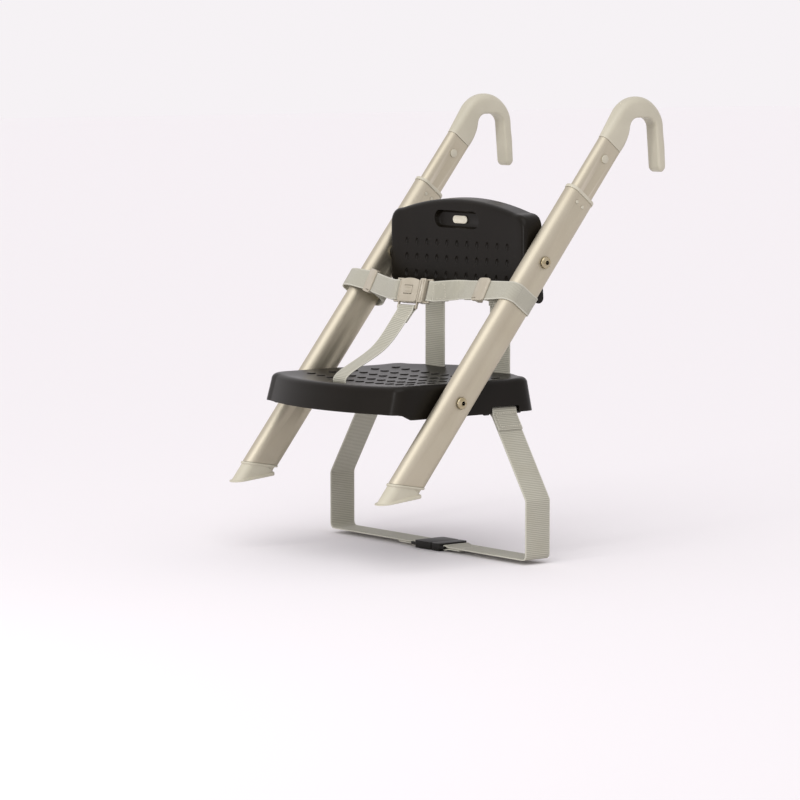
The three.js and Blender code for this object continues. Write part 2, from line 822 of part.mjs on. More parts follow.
function pivotBolt() {
  const profile = [new THREE.Vector2(0, 0), new THREE.Vector2(boltHeadRadius, 0)];
  const domeSteps = curveSteps;
  for (let i = 0; i < domeSteps; i += 1) {
    const angle = (Math.PI / 2) * (i / domeSteps);
    profile.push(new THREE.Vector2(
      boltHeadRadius * Math.cos(angle),
      boltHeadEdge + (boltHeadHeight - boltHeadEdge) * Math.sin(angle),
    ));
  }
  profile.push(new THREE.Vector2(0, boltHeadHeight));
  const dome = new THREE.LatheGeometry(profile, roundSides);
  dome.rotateZ(-Math.PI / 2);
  dome.translate(shankStart, 0, 0);
  const headTop = shankStart + boltHeadHeight;
  const socket = barX(boltSocketRadius, headTop - boltSocketDepth, headTop + overrun, 0, 0, hexSides);
  const head = cut(solidOf(dome), socket);
  return joined(head, barX(boltRadius, shankEnd, shankStart + boltHeadEdge));
}

function pivotNut() {
  const corner = nutAcross / Math.sqrt(3);
  const nut = barX(corner, nutStart - nutHeight, nutStart, 0, 0, hexSides);
  return cut(nut, barX(boltHole, nutStart - nutHeight - overrun, nutStart + overrun));
}

function pivotWasher() {
  const from = panelHalf + clearance;
  const to = panelHalf + panelGap - clearance;
  return cut(barX(washerRadius, from, to), barX(boltHole, from - overrun, to + overrun));
}

function smooth(value, from, run) {
  return THREE.MathUtils.smoothstep(value, from, from + run);
}

// Rings of a panel's outline, drawn in as an inset grows towards its middle
function panelRings(outline, centre, halfA, halfB) {
  return (insetA, insetB, toSpace, share = 1) => outline.map((p) => {
    const a = centre.x + (p.x - centre.x) * ((halfA - insetA) / halfA) * share;
    const b = centre.y + (p.y - centre.y) * ((halfB - insetB) / halfB) * share;
    return toSpace(a, b);
  });
}

// Seat pan: a dished top with rounded shoulders and a skirt, open below, with ribs
const strapY = backPivot.y + suspensionBehind;
const seatFront = seatPivot.y - seatFrontReach;
const seatRear = strapY + seatBehindStraps;
const seatMiddle = (seatFront + seatRear) / 2;
const seatHalfLength = (seatRear - seatFront) / 2;
const seatBorder = seatPivot.z + seatTopRise;
const skirtEdge = seatPivot.z - seatSkirtDrop;

function seatTopAt(x, y) {
  const u = x / panelHalf;
  const v = (y - seatMiddle) / seatHalfLength;
  const dish = seatDish * Math.max(0, 1 - u * u) * Math.max(0, 1 - v ** 4);
  return seatBorder - dish + seatRearRise * smooth(v, 1 / 2, 1 / 2) * (1 - (u * u) / 2);
}

function seatOutline() {
  const w = panelHalf;
  const frontSide = seatFront + seatFrontCorner;
  const frontCornerY = seatFront + seatFrontBow;
  const rearSide = seatRear - seatRearCorner;
  const rearCornerY = seatRear - seatRearBow;
  const shape = new THREE.Shape();
  shape.moveTo(w, frontSide);
  shape.lineTo(w, rearSide);
  shape.quadraticCurveTo(w, rearCornerY, w - seatRearCornerWidth, rearCornerY);
  shape.quadraticCurveTo(0, seatRear + seatRearBow, seatRearCornerWidth - w, rearCornerY);
  shape.quadraticCurveTo(-w, rearCornerY, -w, rearSide);
  shape.lineTo(-w, frontSide);
  shape.quadraticCurveTo(-w, frontCornerY, seatFrontCornerWidth - w, frontCornerY);
  shape.quadraticCurveTo(0, seatFront - seatFrontBow, w - seatFrontCornerWidth, frontCornerY);
  shape.quadraticCurveTo(w, frontCornerY, w, frontSide);
  return shape.getSpacedPoints(seatOutlineSteps).slice(0, -1);
}

function seatHem(y) {
  return skirtEdge + seatFrontLift * (1 - smooth(y, seatFront + seatLiftStart, seatLiftRun));
}

function seatSkin(wall, belowHem) {
  const middle = new THREE.Vector2(0, seatMiddle);
  const ring = panelRings(seatOutline(), middle, panelHalf, seatHalfLength);
  const shoulder = seatShoulder - wall;
  const rings = [
    ring(wall, wall, (x, y) => new THREE.Vector3(x, y, seatHem(y) - belowHem)),
  ];
  for (let i = 0; i <= cornerSteps; i += 1) {
    const angle = (Math.PI / 2) * (i / cornerSteps);
    const inset = wall + shoulder * (1 - Math.cos(angle));
    const rise = shoulder * Math.sin(angle);
    rings.push(ring(
      inset + seatSideDraft,
      inset + seatEndDraft,
      (x, y) => new THREE.Vector3(x, y, seatTopAt(x, y) - wall - shoulder + rise),
    ));
  }
  const deep = seatShoulder;
  seatInnerShares.forEach((share) => rings.push(ring(
    deep + seatSideDraft,
    deep + seatEndDraft,
    (x, y) => new THREE.Vector3(x, y, seatTopAt(x, y) - wall),
    share,
  )));
  const low = new THREE.Vector3(0, seatMiddle, skirtEdge - belowHem);
  const high = new THREE.Vector3(0, seatMiddle, seatTopAt(0, seatMiddle) - wall);
  return loft(rings, low, high);
}

const barX0 = panelHalf - barInset;
const barZ = skirtEdge + barRise;
const notchHalf = wideWebbing / 2 + strapSlotMargin * 2;
const barHalf = notchHalf + barLugThickness;

function seatPan() {
  const outer = seatSkin(0, 0);
  const shell = cut(outer, seatSkin(seatWall, overrun));
  const ribLow = seatBorder - seatWall - seatRibHeight;
  const ribSize = seatRibHeight + overrun;
  const ribs = [-1, 1].map((side) => block(
    ribWall,
    2 * seatHalfLength,
    ribSize,
    side * seatRibX / 2,
    seatMiddle,
    ribLow + ribSize / 2,
  ));
  [-1, 0, 1].forEach((row) => ribs.push(block(
    2 * panelHalf,
    ribWall,
    ribSize,
    0,
    seatMiddle + row * ribSpacing,
    ribLow + ribSize / 2,
  )));
  const inside = joined(...ribs).intersect(seatSkin(seatWall / 2, overrun));
  const bosses = [-1, 1].map((side) => barX(
    bossRadius,
    side * wallInside,
    side * (panelHalf - seatWall + bossSeat),
    seatPivot.y,
    seatPivot.z,
  ));
  const lugHalf = barRadius + seatWall;
  const lugs = [];
  [-1, 1].forEach((side) => [-1, 1].forEach((end) => {
    const reach = barInset - seatWall + bossSeat;
    const shape = new THREE.Shape();
    shape.moveTo(side * reach, barLugHeight);
    shape.lineTo(-side * lugHalf, barLugHeight);
    arc(0, 0, lugHalf, 180, 270).forEach(([x, z]) => shape.lineTo(side * x, z));
    shape.lineTo(side * reach, -barRise / 2);
    shape.closePath();
    const middleY = chairStrapY + end * (notchHalf + barLugThickness / 2);
    const lug = slab(shape, middleY - barLugThickness / 2, middleY + barLugThickness / 2);
    lugs.push(lug.translate([side * barX0, 0, barZ]));
  }));
  const rodHoles = [-1, 1].map((side) => barY(
    barRadius + clearance,
    chairStrapY - barHalf - overrun,
    chairStrapY + barHalf + overrun,
    side * barX0,
    barZ,
  ));
  const notches = [-1, 1].map((side) => block(
    2 * barInset,
    2 * notchHalf,
    2 * notchHeight,
    side * panelHalf,
    chairStrapY,
    skirtEdge,
  ));
  const pivotHoles = [-1, 1].map((side) => barX(
    boltHole,
    side * (wallInside - overrun),
    side * (panelHalf + overrun),
    seatPivot.y,
    seatPivot.z,
  ));
  const slotDepth = 4 * overrun;
  const slots = [-1, 1].map((side) => block(
    wideWebbing + 2 * strapSlotMargin,
    strapSlotWidth,
    slotDepth,
    side * suspensionX,
    strapY,
    seatBorder,
  ));
  const crotchSlot = block(
    narrowWebbing + 2 * strapSlotMargin,
    strapSlotWidth,
    slotDepth,
    0,
    seatFront + crotchSlotReach,
    seatBorder,
  );
  const whole = joined(cut(shell, ...notches), inside, ...bosses, ...lugs);
  return cut(whole, ...pivotHoles, ...slots, crotchSlot, ...rodHoles);
}

// Backrest: an arched shell, open at the rear, with a recess, ribs and two side lugs
const backFront = backPivot.y - backFrontReach;
const backTop = backPivot.z + backTopRise;
const backBottom = backPivot.z - backBottomDrop;
const backMiddleZ = (backTop + backBottom) / 2;
const backHalfHeight = (backTop - backBottom) / 2;

function backOutline() {
  const w = panelHalf;
  const cornerZ = backTop - backArch;
  const shape = new THREE.Shape();
  shape.moveTo(w, backBottom + backBottomCorner);
  shape.lineTo(w, cornerZ - backCornerHeight);
  shape.quadraticCurveTo(w, cornerZ, w - backCornerWidth, cornerZ);
  shape.quadraticCurveTo(0, backTop + backArch, backCornerWidth - w, cornerZ);
  shape.quadraticCurveTo(-w, cornerZ, -w, cornerZ - backCornerHeight);
  shape.lineTo(-w, backBottom + backBottomCorner);
  shape.quadraticCurveTo(-w, backBottom, backBottomCorner - w, backBottom);
  shape.lineTo(w - backBottomCorner, backBottom);
  shape.quadraticCurveTo(w, backBottom, w, backBottom + backBottomCorner);
  return shape.getSpacedPoints(backOutlineSteps).slice(0, -1);
}

function backFaceAt(x, z) {
  const u = x / panelHalf;
  const v = (z - backMiddleZ) / backHalfHeight;
  return backFront + backDish * Math.max(0, 1 - u ** 4) * Math.max(0, 1 - v * v);
}

function backSkin(wall, behind) {
  const middle = new THREE.Vector2(0, backMiddleZ);
  const ring = panelRings(backOutline(), middle, panelHalf, backHalfHeight);
  const shoulder = backShoulder - wall;
  const rings = [
    ring(wall, wall, (x, z) => new THREE.Vector3(x, backFront + backDepth + behind, z)),
  ];
  for (let i = 0; i <= cornerSteps; i += 1) {
    const angle = (Math.PI / 2) * (i / cornerSteps);
    const inset = wall + shoulder * (1 - Math.cos(angle)) + backDraft;
    const out = shoulder * Math.sin(angle);
    rings.push(ring(
      inset,
      inset,
      (x, z) => new THREE.Vector3(x, backFaceAt(x, z) + wall + shoulder - out, z),
    ));
  }
  backInnerShares.forEach((share) => rings.push(ring(
    backShoulder + backDraft,
    backShoulder + backDraft,
    (x, z) => new THREE.Vector3(x, backFaceAt(x, z) + wall, z),
    share,
  )));
  const rear = new THREE.Vector3(0, backFront + backDepth + behind, backMiddleZ);
  const front = new THREE.Vector3(0, backFaceAt(0, backMiddleZ) + wall, backMiddleZ);
  return loft(rings, rear, front);
}

const recessZ = backTop - recessDrop;
const backRodZ = backPivot.z - suspensionRodDrop;
const rodHalf = wideWebbing / 2 + strapSlotMargin;

function pill(width, height, front, rear, z) {
  return slab(roundedRect(width, height, height / 2), front, rear).translate([0, 0, z]);
}

function backrestShell() {
  const outer = backSkin(0, 0);
  const shell = cut(outer, backSkin(backWall, overrun));
  const face = backFaceAt(0, recessZ);
  const recessWall = recessDepth + backWall;
  const pocket = block(
    2 * (recessHalfWidth + backWall),
    recessWall + overrun,
    recessHeight + 2 * backWall,
    0,
    face + (recessWall - overrun) / 2,
    recessZ,
  );
  const recess = pill(
    2 * recessHalfWidth,
    recessHeight,
    face - overrun,
    face + recessDepth,
    recessZ,
  );
  const ribHeight = backRibTop;
  const ribs = [];
  [-1, 1].forEach((side) => [-1, 1].forEach((end) => ribs.push(block(
    ribWall,
    backRibDepth + overrun,
    ribHeight,
    side * suspensionX + end * (rodHalf + ribWall / 2),
    backFront + (backRibDepth - overrun) / 2,
    backBottom + ribHeight / 2,
  ))));
  const rodHoles = [-1, 1].map((side) => barX(
    rodRadius + clearance,
    side * suspensionX - rodHalf - rodOverhang,
    side * suspensionX + rodHalf + rodOverhang,
    strapY,
    backRodZ,
  ));
  const notchFront = strapY - strapSlotWidth / 2;
  const notchRear = backFront + backDepth + overrun;
  const notches = [-1, 1].map((side) => block(
    2 * rodHalf,
    notchRear - notchFront,
    4 * backWall,
    side * suspensionX,
    (notchFront + notchRear) / 2,
    backBottom,
  ));
  const lug = new THREE.Shape();
  const lugY = backPivot.y + lugReach - lugRadius;
  const lugZ = backPivot.z - lugDrop + lugRadius;
  lug.moveTo(backPivot.y, backPivot.z);
  lug.lineTo(backPivot.y - backFrontReach + backShoulder, backBottom + backBottomCorner);
  lug.absarc(lugY, lugZ, lugRadius, (5 * Math.PI) / 4, 2 * Math.PI, false);
  lug.lineTo(backFront + backDepth, backPivot.z);
  lug.closePath();
  const lugs = [-1, 1].map((side) => sideProfile(
    lug,
    backWall - backDraft / 2,
    side * (panelHalf - (backWall + backDraft / 2) / 2),
  ));
  const bosses = [-1, 1].map((side) => barX(
    bossRadius,
    side * wallInside,
    side * (panelHalf - backWall + bossSeat),
    backPivot.y,
    backPivot.z,
  ));
  const pivotHoles = [-1, 1].map((side) => barX(
    boltHole,
    side * (wallInside - overrun),
    side * (panelHalf + overrun),
    backPivot.y,
    backPivot.z,
  ));
  const inside = joined(pocket, ...ribs).intersect(backSkin(backWall / 2, overrun));
  const whole = joined(shell, inside, ...lugs, ...bosses);
  return cut(whole, recess, ...notches, ...rodHoles, ...pivotHoles);
}

function labelPlate() {
  const floor = backFaceAt(0, recessZ) + recessDepth;
  return pill(
    plateWidth,
    plateHeight,
    floor - clearance - plateThickness,
    floor - clearance,
    recessZ,
  );
}

// Rods that the straps' eyes are sewn round
function rod(side, y, z, x = suspensionX, webbingWidth = wideWebbing) {
  const half = webbingWidth / 2 + strapSlotMargin + rodOverhang - clearance;
  return barX(rodRadius, side * x - half, side * x + half, y, z);
}

const eyeRadius = rodRadius + clearance + webbing / 2;

// The height of a rod whose eye closes in the slot above it
function rodBelow(x, y) {
  return seatTopAt(x, y) - seatWall - 3 * clearance - eyeNeckShare * eyeRadius;
}

const seatRodZ = rodBelow(suspensionX - wideWebbing / 2, strapY - strapSlotWidth / 2);
const crotchY = seatFront + crotchSlotReach;
const crotchRodZ = rodBelow(0, crotchY);
const xAxis = new THREE.Vector3(1, 0, 0);
const yAxis = new THREE.Vector3(0, 1, 0);
const zAxis = new THREE.Vector3(0, 0, 1);
const down = zAxis.clone().negate();

function suspensionStrap(side) {
  const upper = new THREE.Vector3(side * suspensionX, strapY, backRodZ);
  const lower = new THREE.Vector3(side * suspensionX, strapY, seatRodZ);
  const top = eye(upper, rodRadius, suspensionPly, down, yAxis, xAxis);
  const low = eye(lower, rodRadius, seatPly, zAxis, yAxis, xAxis);
  return strap([...top, ...low.reverse()], wideWebbing);
}

// Lap buckle, drawn round its own middle: a socket with a button, and a plug with a tongue
const buckleFrame = new THREE.Matrix4()
  .makeRotationZ(radians(buckleYaw))
  .multiply(new THREE.Matrix4().makeRotationX(-radians(buckleLean)))
  .setPosition(legPoint(buckleX, buckleOffset, buckleStation));
const webBarReach = webBarSlot + webBarRadius;
const tongueRear = buckleThickness / 2 - buckleWall - clearance;

// Two arms and a bar beside a buckle's end, for webbing sewn round the bar
function webFrame(end, side, webbingWidth) {
  const inside = webbingWidth / 2 + webMargin;
  const bar = new THREE.CylinderGeometry(
    webBarRadius,
    webBarRadius,
    2 * inside + webArm,
    roundSides / 2,
  );
  bar.rotateX(Math.PI / 2);
  bar.translate(end + side * webBarReach, 0, 0);
  const arms = [-1, 1].map((half) => block(
    webBarReach + webBarRadius + webArm,
    2 * webBarRadius,
    webArm,
    end + (side * (webBarReach + webBarRadius - webArm)) / 2,
    0,
    half * (inside + webArm / 2),
  ));
  return joined(solidOf(bar), ...arms);
}

function buckleSocket() {
  const end = buckleLength / 2;
  const body = slab(
    roundedRect(buckleLength, buckleHeight, buckleCorner, buckleBow),
    -buckleThickness / 2,
    buckleThickness / 2,
  );
  const inner = buckleThickness - 2 * buckleWall;
  const room = block(
    buckleLength - buckleWall + overrun,
    inner,
    tongueHeight + 2 * clearance,
    (buckleWall + overrun) / 2,
  );
  const window = block(
    buttonWidth + 2 * clearance,
    2 * buckleWall,
    buttonHeight + 2 * clearance,
    0,
    -buckleThickness / 2,
  );
  const foot = webFrame(buckleHeight / 2, 1, narrowWebbing).rotate([0, 90, 0]);
  return joined(cut(body, room, window), webFrame(-end, -1, narrowWebbing), foot);
}

function bucklePlug() {
  const face = buckleLength / 2 + clearance;
  const body = slab(
    roundedRect(plugBody, buckleHeight, buckleCorner / 2),
    -buckleThickness / 2,
    buckleThickness / 2,
  ).translate([face + plugBody / 2, 0, 0]);
  const half = tongueHeight / 2;
  const tip = face - tongueLength;
  const shape = new THREE.Shape();
  shape.moveTo(face + plugBody / 2, -half);
  shape.lineTo(face + plugBody / 2, half);
  shape.lineTo(tip + tongueTaper, half);
  shape.lineTo(tip, half - tongueTaper);
  shape.lineTo(tip, tongueTaper - half);
  shape.lineTo(tip + tongueTaper, -half);
  shape.closePath();
  const tongue = slab(shape, tongueRear - tongueThickness, tongueRear);
  return joined(body, tongue, webFrame(face + plugBody, 1, narrowWebbing));
}

function buckleButton() {
  const front = -buckleThickness / 2;
  const flangeFront = front + buckleWall + clearance;
  const stem = slab(
    roundedRect(buttonWidth, buttonHeight, buckleWall),
    front - buttonProud,
    flangeFront + buttonFlange / 2,
  );
  const flange = block(
    buttonWidth + 2 * buttonTravel,
    buttonFlange,
    buttonHeight + 2 * buttonTravel,
    0,
    flangeFront + buttonFlange / 2,
  );
  const grooves = [-1, 1].map((end) => block(
    buttonWidth - 2 * buckleWall,
    2 * buttonProud,
    buttonGroove,
    0,
    front - buttonProud,
    (end * buttonGrooveSpacing) / 2,
  ));
  return cut(joined(stem, flange), ...grooves);
}

// A place on the lap belt, from its shares
function lapPlace(side, [x, offset, rise, lean]) {
  return {
    point: legPoint(
      side * x * legHalfTrack,
      (offset * tubeDepth) / 2,
      lapStation + (rise * tubeDepth) / 2,
    ),
    across: new THREE.Vector3(0, Math.sin(radians(lean)), Math.cos(radians(lean))),
  };
}

// The belt's straight stretch, where its slider moves: a frame along it, at its outer end
function lapStraight(side) {
  const shares = side < 0 ? lapLeftStraightShares : lapRightStraightShares;
  const [inner, outer] = shares.map((share) => lapPlace(side, share));
  const along = outer.point.clone().sub(inner.point).normalize();
  const across = inner.across.clone().addScaledVector(along, -inner.across.dot(along)).normalize();
  const behind = across.clone().cross(along).multiplyScalar(side);
  return { inner: inner.point, outer: outer.point, along, across, behind };
}

// The snug loop round the right leg: it follows the tube's section and climbs a little
function lapSnugLoop() {
  const round = tubeWidth / 2 + webbing / 2 + clearance;
  const flat = tubeDepth / 2 - tubeWidth / 2;
  const outline = [
    ...arc(legHalfTrack, -flat, round, lapSnugStart, 0),
    ...arc(legHalfTrack, flat, round, 0, lapSnugEnd, 2 * curveSteps),
  ];
  return outline.map(([x, offset], i) => {
    const share = i / (outline.length - 1);
    const rise = THREE.MathUtils.lerp(lapRightFrontRise, lapRightRearRise, share);
    return lapPlace(1, [x / legHalfTrack, (2 * offset) / tubeDepth, rise, lapLean]);
  });
}

function lapStrap(side) {
  const bar = side < 0
    ? -buckleLength / 2 - webBarReach
    : buckleLength / 2 + clearance + plugBody + webBarReach;
  const local = (v) => v.clone().transformDirection(buckleFrame);
  const end = eye(
    new THREE.Vector3(bar, 0, 0).applyMatrix4(buckleFrame),
    webBarRadius,
    lapPly,
    local(xAxis).multiplyScalar(side),
    local(yAxis).negate(),
    local(zAxis),
  );
  const straight = lapStraight(side);
  const on = (share, back) => ({
    point: straight.inner.clone()
      .lerp(straight.outer, share)
      .addScaledVector(straight.behind, back),
    across: straight.across,
  });
  const start = lapPlace(side, side < 0 ? lapLeftStartShares : lapRightStartShares);
  const chosen = (shares) => shares.map((share) => lapPlace(side, share));
  const back = webbing + plyGap;
  let loop = [];
  if (side < 0) {
    loop = smoothPlaces([on(1, 0), ...chosen(lapLeftLoopShares), on(1, back)], lapLoopSteps);
  } else {
    const snug = lapSnugLoop();
    const away = [snug.at(-1), ...chosen(lapRightReturnShares), on(1, back)];
    loop = [on(1, 0), ...snug, ...smoothPlaces(away, lapStraightSteps).slice(1)];
  }
  const lead = smoothPlaces([end.at(-1), start, on(0, 0)], 2 * lapStraightSteps);
  return strap([...end.slice(0, -1), ...lead, ...loop, on(0, back)], narrowWebbing);
}

function slider(side) {
  const front = -webbing / 2 - clearance;
  const rear = webbing + plyGap + webbing / 2 + clearance;
  const inside = narrowWebbing + 2 * webMargin;
  const plate = slab(
    roundedRect(sliderLength, sliderHeight, sliderCorner),
    front - sliderFront,
    front,
  );
  const ring = cut(
    block(
      sliderRearLength,
      sliderFront / 2 + rear - front + sliderRear,
      sliderHeight,
      0,
      (rear + sliderRear + front - sliderFront / 2) / 2,
    ),
    block(sliderLength, rear - front, inside, 0, (front + rear) / 2),
  );
  const rib = block(
    sliderRib,
    sliderRib,
    inside,
    side * (sliderLength / 2 - sliderRib),
    front - sliderFront,
  );
  const straight = lapStraight(side);
  const place = straight.inner.clone().lerp(straight.outer, sliderPlaceShare);
  const frame = new THREE.Matrix4().makeBasis(
    straight.along.clone().multiplyScalar(side),
    straight.behind,
    straight.across,
  ).setPosition(place);
  return placed(joined(plate, ring, rib), frame);
}

function crotchStrap() {
  const low = eye(
    new THREE.Vector3(0, crotchY, crotchRodZ),
    rodRadius,
    seatPly,
    zAxis,
    yAxis,
    xAxis,
  );
  const slotTop = low.at(-1).point.clone();
  const bar = new THREE.Vector3(0, 0, -buckleHeight / 2 - webBarReach).applyMatrix4(buckleFrame);
  const reach = bar.clone().sub(slotTop);
  const middle = new THREE.Vector3(...crotchMiddleShares).multiply(reach).add(slotTop);
  const across = xAxis.clone().transformDirection(buckleFrame);
  const along = middle.clone().sub(bar);
  along.addScaledVector(across, -along.dot(across)).normalize();
  const top = eye(bar, webBarRadius, crotchPly, along, along.clone().cross(across), across);
  const route = smoothPlaces([
    low.at(-1),
    { point: slotTop.clone().addScaledVector(zAxis, crotchRise), across: xAxis },
    { point: middle, across: xAxis.clone().lerp(across, 1 / 2) },
    top.at(-1),
  ], curveSteps);
  return strap([...low.slice(0, -1), ...route, ...top.slice(0, -1).reverse()], narrowWebbing);
}

// Lower straps: sewn round the seat's bars, down at both sides and in underneath
const chairBuckleEnd = -chairBuckleLength / 2;
const chairPlugFace = chairBuckleLength / 2 + clearance;

function chairStrap(side) {
  const bar = new THREE.Vector3(side * barX0, chairStrapY, barZ);
  const shoulder = new THREE.Vector3(side * chairStrapX, chairStrapY, -chairStrapShoulder);
  const along = shoulder.clone().sub(bar).normalize();
  const outward = along.clone().cross(yAxis).multiplyScalar(-side);
  const top = eye(bar, barRadius, chairPly, along, outward, yAxis);
  const turn = arc(
    chairStrapX - chairStrapTurn,
    chairStrapTurn - chairStrapDepth,
    chairStrapTurn,
    0,
    -90,
  ).map(([x, z]) => ({ point: new THREE.Vector3(side * x, chairStrapY, z), across: yAxis }));
  const barPlace = side < 0
    ? chairBuckleEnd - webBarReach
    : chairPlugFace + chairPlugBody + webBarReach;
  const low = eye(
    new THREE.Vector3(barPlace, chairStrapY, -chairStrapDepth - (webbing + plyGap) / 2),
    webBarRadius,
    chairPly,
    xAxis.clone().multiplyScalar(side),
    zAxis,
    yAxis,
  );
  const bend = { point: shoulder, across: yAxis };
  return strap([...top, bend, ...turn, ...low.reverse()], wideWebbing);
}

// The lower straps' buckle, drawn with its length across and its width up
function chairSocket() {
  const body = slab(
    roundedRect(chairBuckleLength, chairBuckleWidth, buckleCorner),
    -chairBuckleThickness / 2,
    chairBuckleThickness / 2,
  );
  const room = block(
    chairBuckleLength - buckleWall + overrun,
    chairProngThickness + 2 * clearance,
    chairProngWidth + 2 * clearance,
    (buckleWall + overrun) / 2,
  );
  return joined(cut(body, room), webFrame(chairBuckleEnd, -1, wideWebbing));
}

function chairPlug() {
  const body = slab(
    roundedRect(chairPlugBody, chairBuckleWidth, buckleCorner),
    -chairBuckleThickness / 2,
    chairBuckleThickness / 2,
  ).translate([chairPlugFace + chairPlugBody / 2, 0, 0]);
  const prongEnd = chairPlugFace - chairProngLength;
  const prongs = [-1, 1].map((half) => block(
    chairProngLength + chairPlugBody / 2,
    chairProngThickness,
    chairProngArm,
    prongEnd + (chairProngLength + chairPlugBody / 2) / 2,
    0,
    (half * (chairProngWidth - chairProngArm)) / 2,
  ));
  return joined(body, ...prongs, webFrame(chairPlugFace + chairPlugBody, 1, wideWebbing));
}

// Legs, one at each side
[-1, 1].forEach((side) => {
  const name = side < 0 ? 'left' : 'right';
  const leg = new THREE.Group();
  leg.position.set(side * legHalfTrack, legFootY, 0);
  leg.rotation.x = legTilt;
  scene.add(leg);
  addMesh(leg, `${name}_lower_tube`, lowerTube(), finish.aluminium);
  addMesh(leg, `${name}_collar`, collar(), finish.greyPlastic);
  addMesh(leg, `${name}_upper_tube`, upperTube(), finish.aluminium);
  addMesh(leg, `${name}_guide_shoe`, guideShoe(), finish.blackPlastic);

  const upright = new THREE.Group();
  upright.position.x = side * legHalfTrack;
  scene.add(upright);
  addMesh(upright, `${name}_foot`, foot(), finish.greyPlastic);
  addMesh(upright, `${name}_hook`, hook(), finish.greyPlastic);

  [['seat', seatPivot], ['back', backPivot]].forEach(([panel, pivot]) => {
    const set = new THREE.Group();
    set.position.set(0, pivot.y, pivot.z);
    if (side < 0) set.rotation.z = Math.PI;
    scene.add(set);
    addMesh(set, `${name}_${panel}_bolt`, pivotBolt(), finish.zinc);
    addMesh(set, `${name}_${panel}_nut`, pivotNut(), finish.zinc);
    addMesh(set, `${name}_${panel}_washer`, pivotWasher(), finish.nylon);
  });
});

addMesh(scene, 'seat_pan', seatPan(), finish.blackPlastic);
addMesh(scene, 'backrest_shell', backrestShell(), finish.blackPlastic);
addMesh(scene, 'label_plate', labelPlate(), finish.greyPlastic);

// Rods and straps
[-1, 1].forEach((side) => {
  const name = side < 0 ? 'left' : 'right';
  const bar = barY(barRadius, chairStrapY - barHalf, chairStrapY + barHalf, side * barX0, barZ);
  addMesh(scene, `${name}_strap_bar`, bar, finish.zinc);
  addMesh(scene, `${name}_back_rod`, rod(side, strapY, backRodZ), finish.zinc);
  addMesh(scene, `${name}_seat_rod`, rod(side, strapY, seatRodZ), finish.zinc);
  addMesh(scene, `${name}_suspension_strap`, suspensionStrap(side), finish.webbing);
  addMesh(scene, `${name}_lap_strap`, lapStrap(side), finish.webbing);
  addMesh(scene, `${name}_slider`, slider(side), finish.greyPlastic);
  addMesh(scene, `${name}_chair_strap`, chairStrap(side), finish.webbing);
});
addMesh(scene, 'crotch_rod', rod(0, crotchY, crotchRodZ, 0, narrowWebbing), finish.zinc);
addMesh(scene, 'crotch_strap', crotchStrap(), finish.webbing);

// Buckles
const lapBuckle = new THREE.Group();
buckleFrame.decompose(lapBuckle.position, lapBuckle.quaternion, lapBuckle.scale);
scene.add(lapBuckle);
addMesh(lapBuckle, 'buckle_socket', buckleSocket(), finish.greyPlastic);
addMesh(lapBuckle, 'buckle_plug', bucklePlug(), finish.greyPlastic);
addMesh(lapBuckle, 'buckle_button', buckleButton(), finish.greyPlastic);

const chairBuckle = new THREE.Group();
chairBuckle.position.set(0, chairStrapY, -chairStrapDepth - (webbing + plyGap) / 2);
chairBuckle.rotation.x = Math.PI / 2;
scene.add(chairBuckle);
addMesh(chairBuckle, 'chair_buckle_socket', chairSocket(), finish.blackPlastic);
addMesh(chairBuckle, 'chair_buckle_plug', chairPlug(), finish.blackPlastic);

export default scene;
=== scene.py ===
import json
from math import acos, atan2, cos, degrees, hypot, pi, radians, sin, sqrt, tau
import bmesh
import bpy
from mathutils import Matrix, Vector

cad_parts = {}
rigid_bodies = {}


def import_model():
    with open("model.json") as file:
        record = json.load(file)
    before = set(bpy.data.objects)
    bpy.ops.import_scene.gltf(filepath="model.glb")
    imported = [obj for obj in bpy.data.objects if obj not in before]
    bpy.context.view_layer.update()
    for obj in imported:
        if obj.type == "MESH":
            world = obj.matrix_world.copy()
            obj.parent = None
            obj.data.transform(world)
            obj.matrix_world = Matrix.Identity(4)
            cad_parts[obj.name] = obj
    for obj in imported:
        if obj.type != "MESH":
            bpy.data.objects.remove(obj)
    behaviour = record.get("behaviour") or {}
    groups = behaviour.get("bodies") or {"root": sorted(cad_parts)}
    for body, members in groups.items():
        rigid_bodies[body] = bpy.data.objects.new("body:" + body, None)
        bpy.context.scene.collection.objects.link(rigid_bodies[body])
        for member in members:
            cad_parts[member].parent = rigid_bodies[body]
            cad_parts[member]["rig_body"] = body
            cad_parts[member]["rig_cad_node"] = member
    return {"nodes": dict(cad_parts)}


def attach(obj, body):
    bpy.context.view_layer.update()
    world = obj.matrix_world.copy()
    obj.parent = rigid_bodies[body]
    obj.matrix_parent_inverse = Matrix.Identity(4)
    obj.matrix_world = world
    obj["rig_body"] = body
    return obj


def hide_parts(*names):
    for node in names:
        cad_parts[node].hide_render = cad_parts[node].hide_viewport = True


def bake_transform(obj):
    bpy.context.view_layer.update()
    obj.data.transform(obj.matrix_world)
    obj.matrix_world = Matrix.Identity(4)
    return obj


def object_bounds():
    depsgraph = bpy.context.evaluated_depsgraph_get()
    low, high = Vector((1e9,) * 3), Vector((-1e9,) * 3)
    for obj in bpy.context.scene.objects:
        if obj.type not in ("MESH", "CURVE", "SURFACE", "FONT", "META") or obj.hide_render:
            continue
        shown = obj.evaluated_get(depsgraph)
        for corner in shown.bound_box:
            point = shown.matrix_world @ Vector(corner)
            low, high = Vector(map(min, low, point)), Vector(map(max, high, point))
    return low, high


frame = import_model()
for start in ("Cube", "Light", "Camera"):
    if start in bpy.data.objects:
        bpy.data.objects.remove(bpy.data.objects[start])
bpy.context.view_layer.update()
print("frame loaded:", len(frame["nodes"]), "nodes")

